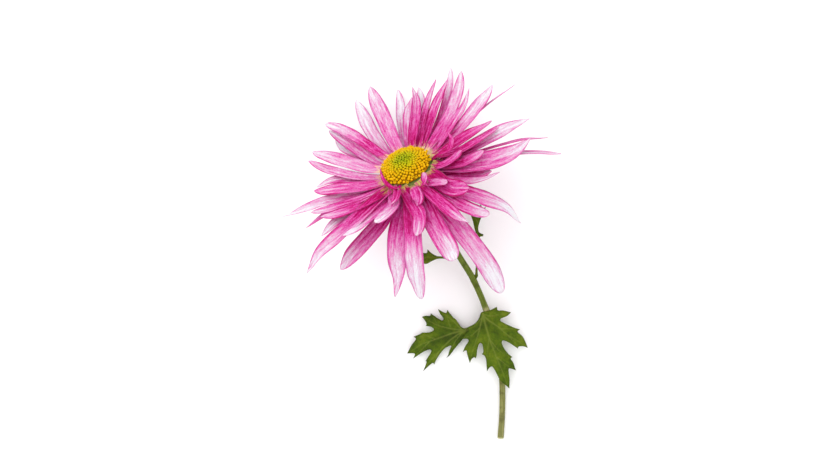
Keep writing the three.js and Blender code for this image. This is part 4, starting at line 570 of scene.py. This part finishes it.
def disc():
    V, F, A = [], [], {"ring": [], "high": [], "seed": []}
    # the dome that the florets stand on, closed underneath
    prof = [(0.0, 4.0)] + [(r, float(dome(r)) - 0.35) for r in (1.2, 2.6, 4.0, 5.2, 6.4, 7.6, 8.5, 9.3, 9.8)] + [(10.0, -0.15), (9.6, -0.4), (0.0, -0.4)]
    n = 64
    v = [HEAD_CENTRE + prof[0][1] * HEAD_AXIS]
    for r, h in prof[1:-1]:
        for k in range(n):
            a = 2 * math.pi * k / n
            v.append(HEAD_CENTRE + r * (math.cos(a) * E1 + math.sin(a) * E2) + h * HEAD_AXIS)
    v.append(HEAD_CENTRE + prof[-1][1] * HEAD_AXIS)
    f = ring_faces(len(prof) - 2, n, 1, 0, len(v) - 1)
    V += v
    F += f
    A["ring"] += [0.0] + [r / 10 for r, h in prof[1:-1] for _ in range(n)] + [0.0]
    A["high"] += [0.05] * len(v)
    A["seed"] += [0.5] * len(v)
    count = 285
    gold = math.pi * (3 - math.sqrt(5))
    for i in range(count):
        fr = math.sqrt((i + 0.5) / count)
        r = 10.05 * fr
        a = i * gold
        p, nrm, out = dome_frame(min(r * (1 + 0.009 * rng.standard_normal()), 10.15), a + 0.032 * rng.standard_normal() * (1 - 0.5 * fr))
        t1 = unit(np.cross(nrm, out + 1e-3))
        t2 = np.cross(nrm, t1)
        size = (0.52 + 0.07 * smooth(fr, 0.15, 0.8)) * (1 + 0.06 * rng.standard_normal())
        openness = float(smooth(fr, 0.86, 0.97)) if rng.random() < 0.45 else 0.0
        tall = (0.30 + 0.54 * float(smooth(fr, 0.2, 0.8)) + 0.25 * openness) * (1 + 0.12 * rng.standard_normal())
        lean = unit(nrm + 0.10 * rng.standard_normal(3) + 0.12 * openness * out)
        spin = rng.random() * 6.28
        sd = float(rng.random())
        b0 = len(V)
        n = 10
        if openness > 0.35:
            # an open tube floret: five lobes spread round a throat
            rings = [(-0.5, 0.62, 0), (0.35, 0.66, 0), (0.72, 0.80, 0.10), (0.95, 1.12, 0.30), (1.02, 0.98, 0.30), (0.86, 0.52, 0.05), (0.55, 0.28, 0)]
            highs = [0, 0.4, 0.7, 1.0, 1.0, 0.55, 0.15]
        else:
            rings = [(-0.5, 0.92, 0), (0.2, 1.0, 0), (0.58, 0.95, 0.03), (0.84, 0.72, 0.07), (0.97, 0.36, 0.09)]
            highs = [0, 0.35, 0.75, 0.95, 1.0]
        for (h, rr, lobe), hi in zip(rings, highs):
            for k in range(n):
                ang = spin + 2 * math.pi * k / n
                m_ = rr * (1 + (lobe if k % 2 == 0 else -lobe))
                V.append(p + lean * (h * tall) + (t1 * math.cos(ang) + t2 * math.sin(ang)) * size * m_)
            A["ring"] += [fr] * n
            A["high"] += [hi] * n
            A["seed"] += [sd] * n
        V.append(p - lean * 0.5 * tall)
        V.append(p + lean * ((0.5 if openness > 0.35 else 1.0) * tall))
        A["ring"] += [fr, fr]
        A["high"] += [0, 0.1 if openness > 0.35 else 1.0]
        A["seed"] += [sd, sd]
        F += ring_faces(len(rings), n, b0, len(V) - 2, len(V) - 1)
    return build("disc_floret_cluster", np.array(V), F, A, DISC, "disc_florets")


disc()


# ---------- stem, receptacle and bracts ----------
def stem():
    d = np.r_[0, np.cumsum(np.linalg.norm(np.diff(STEM[:, :3], axis=0), axis=1))]
    total = d[-1]
    s = np.r_[np.linspace(0, 14, 60, endpoint=False), np.linspace(14, total - 0.5, 260), total - 0.25, total]
    # a smooth path through the stations
    fine = np.linspace(0, 1, 1200)
    cp = curve_at(STEM[:, :3], fine)
    cd = np.r_[0, np.cumsum(np.linalg.norm(np.diff(cp, axis=0), axis=1))]
    cd *= total / cd[-1]
    P = np.stack([np.interp(s, cd, cp[:, k]) for k in range(3)], 1)
    for _ in range(6):
        P[30:-1] = (P[29:-2] + 2 * P[30:-1] + P[31:]) / 4
    r = np.interp(s, d, STEM[:, 3])
    body = np.interp(s, [0, 0.5, 1.2, 2.6, 4.3, 5.0, 6.5, 8.2, 9.6, 10.6, 12, 15], [9.8, 10.6, 11.0, 10.8, 9.0, 8.4, 7.3, 5.9, 3.9, 2.3, 1.5, 1.3])
    r = np.where(s < 15, body, r)
    T = unit(np.gradient(P, axis=0))
    T[s < 11] = -HEAD_AXIS
    ref = np.array([1, 0.1, 0])
    nx = unit(ref - (T @ ref)[:, None] * T)
    ny = np.cross(T, nx)
    n = 40
    a = np.linspace(0, 2 * math.pi, n, endpoint=False)
    ribs = smooth(s, 14, 26)
    rr = r[:, None] * (1 + ribs[:, None] * (0.045 * np.cos(7 * a)[None, :] + 0.02 * np.cos(13 * a + 1)[None, :]))
    rr[-1] *= 0.93
    ring = P[:, None, :] + nx[:, None, :] * (rr * np.cos(a))[:, :, None] + ny[:, None, :] * (rr * np.sin(a))[:, :, None]
    verts = ring.reshape(-1, 3)
    # cut face: a pale pith ring
    inner = P[-1][None, :] + (nx[-1][None, :] * np.cos(a)[:, None] + ny[-1][None, :] * np.sin(a)[:, None]) * r[-1] * 0.55 + T[-1] * 0.02
    base_n = len(verts)
    verts = np.vstack([verts, inner, P[0], P[-1] - T[-1] * 0.05])
    faces = ring_faces(len(s) + 1, n, 0, len(verts) - 2, len(verts) - 1)
    rep = lambda x: np.repeat(x, n)
    al = np.r_[rep(s / total), np.ones(n), 0, 1]
    ar = np.r_[np.tile(a / (2 * math.pi), len(s)), a / (2 * math.pi), 0, 0]
    cut = np.r_[rep(np.where(s > total - 0.3, 0.8, 0.0)), np.ones(n), 0, 1]
    sn = STEM_NODE
    spot = np.exp(-((s - sn) / 1.0) ** 2)
    toward = np.clip(nx[:, None, 2] * np.cos(a)[None, :] + ny[:, None, 2] * np.sin(a)[None, :], 0, 1)
    # a pale mark at the stem node on its upper side; the pale ring at the top, just under the disc, is painted light
    node = np.r_[np.maximum(spot[:, None] * toward * 0.9, 0.16 * (1 - smooth(s, 2.0, 4.0))[:, None]).reshape(-1), np.zeros(n), 0, 0]
    build("stem_and_receptacle", verts, faces, {"along": al, "around": ar, "cut": cut, "node": node}, STEMM, "stem")


STEM_NODE = 77.69
stem()


def bracts():
    """Overlapping green bracts cupping the head from behind."""
    cup = lambda h: float(np.interp(h, [-11.8, -11.1, -9.8, -8.2, -6.9, -6.1, -5.0, -4.2, -3.6], [2.2, 3.8, 6.2, 8.1, 9.0, 9.3, 9.9, 10.8, 11.8]))
    V, F, A = [], [], {"along": [], "across": [], "seed": []}
    rows = [(-11.3, 4.2, 2.3, 12, 0.0), (-10.2, 4.8, 2.7, 16, 0.5), (-8.9, 6.0, 2.9, 20, 0.0)]
    for start, length, width, count, phase in rows:
        for j in range(count):
            a0 = 2 * math.pi * (j + phase) / count + 0.05 * rng.standard_normal()
            sd = float(rng.random())
            nt, nu = 12, 7
            t = np.linspace(0, 1, nt)
            u = np.linspace(-1, 1, nu)
            L = length * (1 + 0.08 * rng.standard_normal())
            hw = width / 2 * np.sqrt(np.clip(1 - np.clip((t - 0.45) / 0.56, 0, 1) ** 2.2, 0, 1)) * (0.75 + 0.25 * smooth(t, 0, 0.3))
            b0 = len(V)
            # walk up the cup's surface
            pts = []
            h, r = start, cup(start)
            for tt in t:
                pts.append((h, r + 0.22 + 0.28 * tt + 0.35 * max(tt - 0.75, 0)))
                dh = 0.05
                slope = (cup(h + dh) - cup(h)) / dh
                step = L / (nt - 1) / math.sqrt(1 + slope * slope)
                h += step
                r = cup(h)
            ring = []
            for (hh, r0), w in zip(pts, hw):
                da = w / r0 * u
                lift = 0.10 * (1 - u**2)
                up = [HEAD_CENTRE + (r0 + lift[k] + 0.13 * math.sqrt(max(1 - u[k] ** 4, 0))) * (math.cos(a0 + da[k]) * E1 + math.sin(a0 + da[k]) * E2) + hh * HEAD_AXIS for k in range(nu)]
                dn = [HEAD_CENTRE + (r0 + lift[k] - 0.13 * math.sqrt(max(1 - u[k] ** 4, 0))) * (math.cos(a0 + da[k]) * E1 + math.sin(a0 + da[k]) * E2) + hh * HEAD_AXIS for k in range(nu)]
                ring.append(up + dn[-2:0:-1])
            k = len(ring[0])
            uu = list(u) + list(u[-2:0:-1])
            for rr, tt in zip(ring, t):
                V += rr
                A["along"] += [tt] * k
                A["across"] += uu
                A["seed"] += [sd] * k
            V.append(np.mean(ring[0], axis=0))
            V.append(np.mean(ring[-1], axis=0))
            A["along"] += [0, 1]
            A["across"] += [0, 0]
            A["seed"] += [sd, sd]
            F += ring_faces(nt, k, b0, len(V) - 2, len(V) - 1)
    build("involucre_bracts", np.array(V), F, A, BRACT, "stem")


bracts()


# ---------- leaves ----------
def soften(outline, tips):
    """Rounds the notches and sides and keeps the teeth's points."""
    pts = [np.array(p, float) for p in outline]
    sharp = [k in tips for k in range(len(pts))]
    for _ in range(2):
        out, sh = [], []
        m_ = len(pts)
        for k in range(m_):
            p, nx_, pv = pts[k], pts[(k + 1) % m_], pts[k - 1]
            if sharp[k]:
                out.append(p * 0.85 + 0.15 * pv)
                sh.append(False)
                out.append(p)
                sh.append(True)
                out.append(p * 0.85 + 0.15 * nx_)
                sh.append(False)
            else:
                out.append(p * 0.78 + 0.22 * pv)
                sh.append(False)
                out.append(p * 0.78 + 0.22 * nx_)
                sh.append(False)
        pts, sharp = out, sh
    return np.array(pts)


def inside(P, poly):
    x, y = P[:, 0], P[:, 1]
    res = np.zeros(len(P), bool)
    j = len(poly) - 1
    for i in range(len(poly)):
        xi, yi = poly[i]
        xj, yj = poly[j]
        c = ((yi > y) != (yj > y)) & (x < (xj - xi) * (y - yi) / (yj - yi + 1e-12) + xi)
        res ^= c
        j = i
    return res


def seg_dist(P, a, b):
    ab = b - a
    t = np.clip(((P - a) @ ab) / max(ab @ ab, 1e-9), 0, 1)
    return np.linalg.norm(P - a - t[:, None] * ab, axis=1), t


def leaf(name, data):
    outline = np.array(data["outline"])
    m_ = len(outline)
    tips = set()
    area = 0.5 * sum(outline[k - 1][0] * outline[k][1] - outline[k][0] * outline[k - 1][1] for k in range(m_))
    for k in range(m_):
        a, b, c = outline[k - 1], outline[k], outline[(k + 1) % m_]
        v1, v2 = unit(b - a), unit(c - b)
        turn = math.degrees(math.atan2(v1[0] * v2[1] - v1[1] * v2[0], float(v1 @ v2))) * (1 if area > 0 else -1)
        if turn > 62:
            tips.add(k)
    poly = soften(outline, tips)
    # even steps round the edge
    loop = np.vstack([poly, poly[:1]])
    keep = [poly[0]]
    for p in loop[1:]:
        if np.linalg.norm(p - keep[-1]) > 0.10:
            keep.append(p)
    if np.linalg.norm(keep[-1] - keep[0]) < 0.10:
        keep.pop()
    poly = np.array(keep)
    lo, hi = poly.min(0), poly.max(0)
    g = 0.36
    gx, gy = np.meshgrid(np.arange(lo[0], hi[0], g), np.arange(lo[1], hi[1], g))
    gx = gx + (np.arange(gx.shape[0]) % 2)[:, None] * g / 2
    G = np.c_[gx.ravel(), gy.ravel()]
    G = G[inside(G, poly)]
    dist = np.full(len(G), 1e9)
    for k in range(len(poly)):
        dd, _t = seg_dist(G, poly[k - 1], poly[k])
        dist = np.minimum(dist, dd)
    G = G[dist > 0.2]
    pts = [Vector(p) for p in poly] + [Vector(p) for p in G]
    n0 = len(poly)
    vs, es, fs, ov, oe, of_ = delaunay_2d_cdt(pts, [(k, (k + 1) % n0) for k in range(n0)], [], 1, 1e-6)
    X = np.array([[p.x, p.y] for p in vs])
    tris = [tuple(f) for f in fs]
    # keep only what is used
    used = sorted({i for f in tris for i in f})
    remap = {o: k for k, o in enumerate(used)}
    X = X[used]
    tris = [tuple(remap[i] for i in f) for f in tris]
    m2 = len(X)
    # veins
    vein = np.zeros(m2)
    press = np.zeros(m2)
    near = np.full(m2, 1e9)
    for line, w0 in data["veins"]:
        line = np.array(line)
        seglen = np.linalg.norm(np.diff(line, axis=0), axis=1)
        tot = seglen.sum()
        done = 0.0
        for k in range(len(line) - 1):
            dd, tt = seg_dist(X, line[k], line[k + 1])
            f = (done + tt * seglen[k]) / tot
            w = w0 * (1 - 0.72 * f)
            vein = np.maximum(vein, np.exp(-((dd / w) ** 2)) * (1 - 0.45 * f))
            press = np.maximum(press, np.exp(-((dd / (w * 2.2)) ** 2)) * (1 - 0.6 * f))
            near = np.minimum(near, dd)
            done += seglen[k]
    edge = np.full(m2, 1e9)
    for k in range(len(poly)):
        dd, _t = seg_dist(X, poly[k - 1], poly[k])
        edge = np.minimum(edge, dd)
    a, bb = np.array(data["rib"][0]), np.array(data["rib"][1])
    al = unit(bb - a)
    reach = float(np.linalg.norm(bb - a))
    dx = X - a
    s = dx @ al / reach
    d = dx[:, 0] * al[1] - dx[:, 1] * al[0]
    puff = 0.34 * np.clip(near / 2.2, 0, 1) ** 0.8 * (1 - np.exp(-((edge / 1.0) ** 2)))
    z = data["lift"] + data["rise"] * s - data["droop"] * d * d + data["thickness"] / 2
    z = z + puff * 1.0 - 0.16 * press + 0.18 * np.sin(X[:, 0] * 0.55 + 1.1) * np.cos(X[:, 1] * 0.47) * np.clip(edge / 1.5, 0.25, 1)
    z = z + data.get("edge_lift", 0.0) * np.exp(-((edge / 1.3) ** 2))
    th = 0.17 * np.clip(edge / 0.35, 0.25, 1)
    stalk = np.clip(1 - edge / 1.0, 0, 1)
    top = np.c_[X, z + th]
    bot = np.c_[X, z - th - 0.10 * press]
    # the rim: edges used once
    count = {}
    for f in tris:
        for i in range(3):
            e = (f[i], f[(i + 1) % 3])
            count[tuple(sorted(e))] = count.get(tuple(sorted(e)), 0) + 1
    faces = [f for f in tris] + [tuple(i + m2 for i in reversed(f)) for f in tris]
    for f in tris:
        for i in range(3):
            e = (f[i], f[(i + 1) % 3])
            if count[tuple(sorted(e))] == 1:
                faces.append((e[1], e[0], e[0] + m2, e[1] + m2))
    verts = np.vstack([top, bot])
    two = lambda x: np.r_[x, x]
    rim = np.exp(-((edge / 0.45) ** 2))
    attrs = {"vein": two(vein), "rim": two(rim), "tone": np.full(2 * m2, data["tone"]), "px": two(X[:, 0]), "py": two(X[:, 1]), "face": np.r_[np.ones(m2), np.zeros(m2)]}
    build(name + "_blade", verts, faces, attrs, LEAF, name)


for key, value in LEAVES.items():
    leaf(key, value)

# ---------- surface, light and camera ----------
lo, hi = [np.array(v) for v in START_BOUNDS]


def floor():
    mesh = bpy.data.meshes.new("floor")
    c = (lo + hi) / 2
    n, w = 24, 1.6
    V, F = [], []
    for j in range(n + 1):
        for i in range(n + 1):
            V.append((c[0] + (i / n - 0.5) * w * 2, c[1] + (j / n - 0.5) * w * 2, float(lo[2]) - 0.0002))
    for j in range(n):
        for i in range(n):
            a = j * (n + 1) + i
            F.append((a, a + 1, a + n + 2, a + n + 1))
    mesh.from_pydata(V, [], F)
    ob = bpy.data.objects.new("floor", mesh)
    bpy.context.scene.collection.objects.link(ob)
    m = Nodes("floor_paper")
    tex = m.new("ShaderNodeTexCoord").outputs["Object"]
    m.link(m.mix(m.noise(tex, 3.0, 2.0, 0.5), (0.955, 0.955, 0.955, 1), (0.97, 0.97, 0.97, 1)), m.bsdf.inputs["Base Color"])
    m.bsdf.inputs["Roughness"].default_value = 0.9
    m.bsdf.inputs["Specular IOR Level"].default_value = 0.1
    ob.data.materials.append(m.mat)


floor()

scene = bpy.context.scene
scene.view_settings.view_transform = "Standard"
scene.view_settings.look = "None"
scene.view_settings.exposure = 0.0
world = bpy.data.worlds.new("studio")
scene.world = world
world.use_nodes = True
world.node_tree.nodes["Background"].inputs[0].default_value = (1.0, 1.0, 1.0, 1)
world.node_tree.nodes["Background"].inputs[1].default_value = 1.1


def area(name, loc, target, size, power):
    light = bpy.data.lights.new(name, "AREA")
    light.energy = power
    light.size = size
    ob = bpy.data.objects.new(name, light)
    scene.collection.objects.link(ob)
    ob.location = loc
    ob.rotation_euler = (Vector(target) - Vector(loc)).to_track_quat("-Z", "Y").to_euler()


LAY = Matrix([[*LAY_R[i], LAY_T[i] * MM] for i in range(3)] + [[0, 0, 0, 1]])
centre = Vector(((lo[0] + hi[0]) / 2, (lo[1] + hi[1]) / 2, 0.02))
for light_name, offset, size, power in (("key", (-0.45, 0.5, 0.9), 1.1, 6.0), ("fill", (0.6, -0.4, 0.8), 1.0, 1.5)):
    area(light_name, centre + Vector(offset), centre, size, power)

cam_data = bpy.data.cameras.new("camera")
cam_data.lens = 100.0
cam_data.sensor_width = 36.0
cam = bpy.data.objects.new("camera", cam_data)
scene.collection.objects.link(cam)
cam.matrix_world = LAY @ Matrix.Translation((0, 0, 911.1 * MM))
cam_data.clip_end = 20
scene.camera = cam
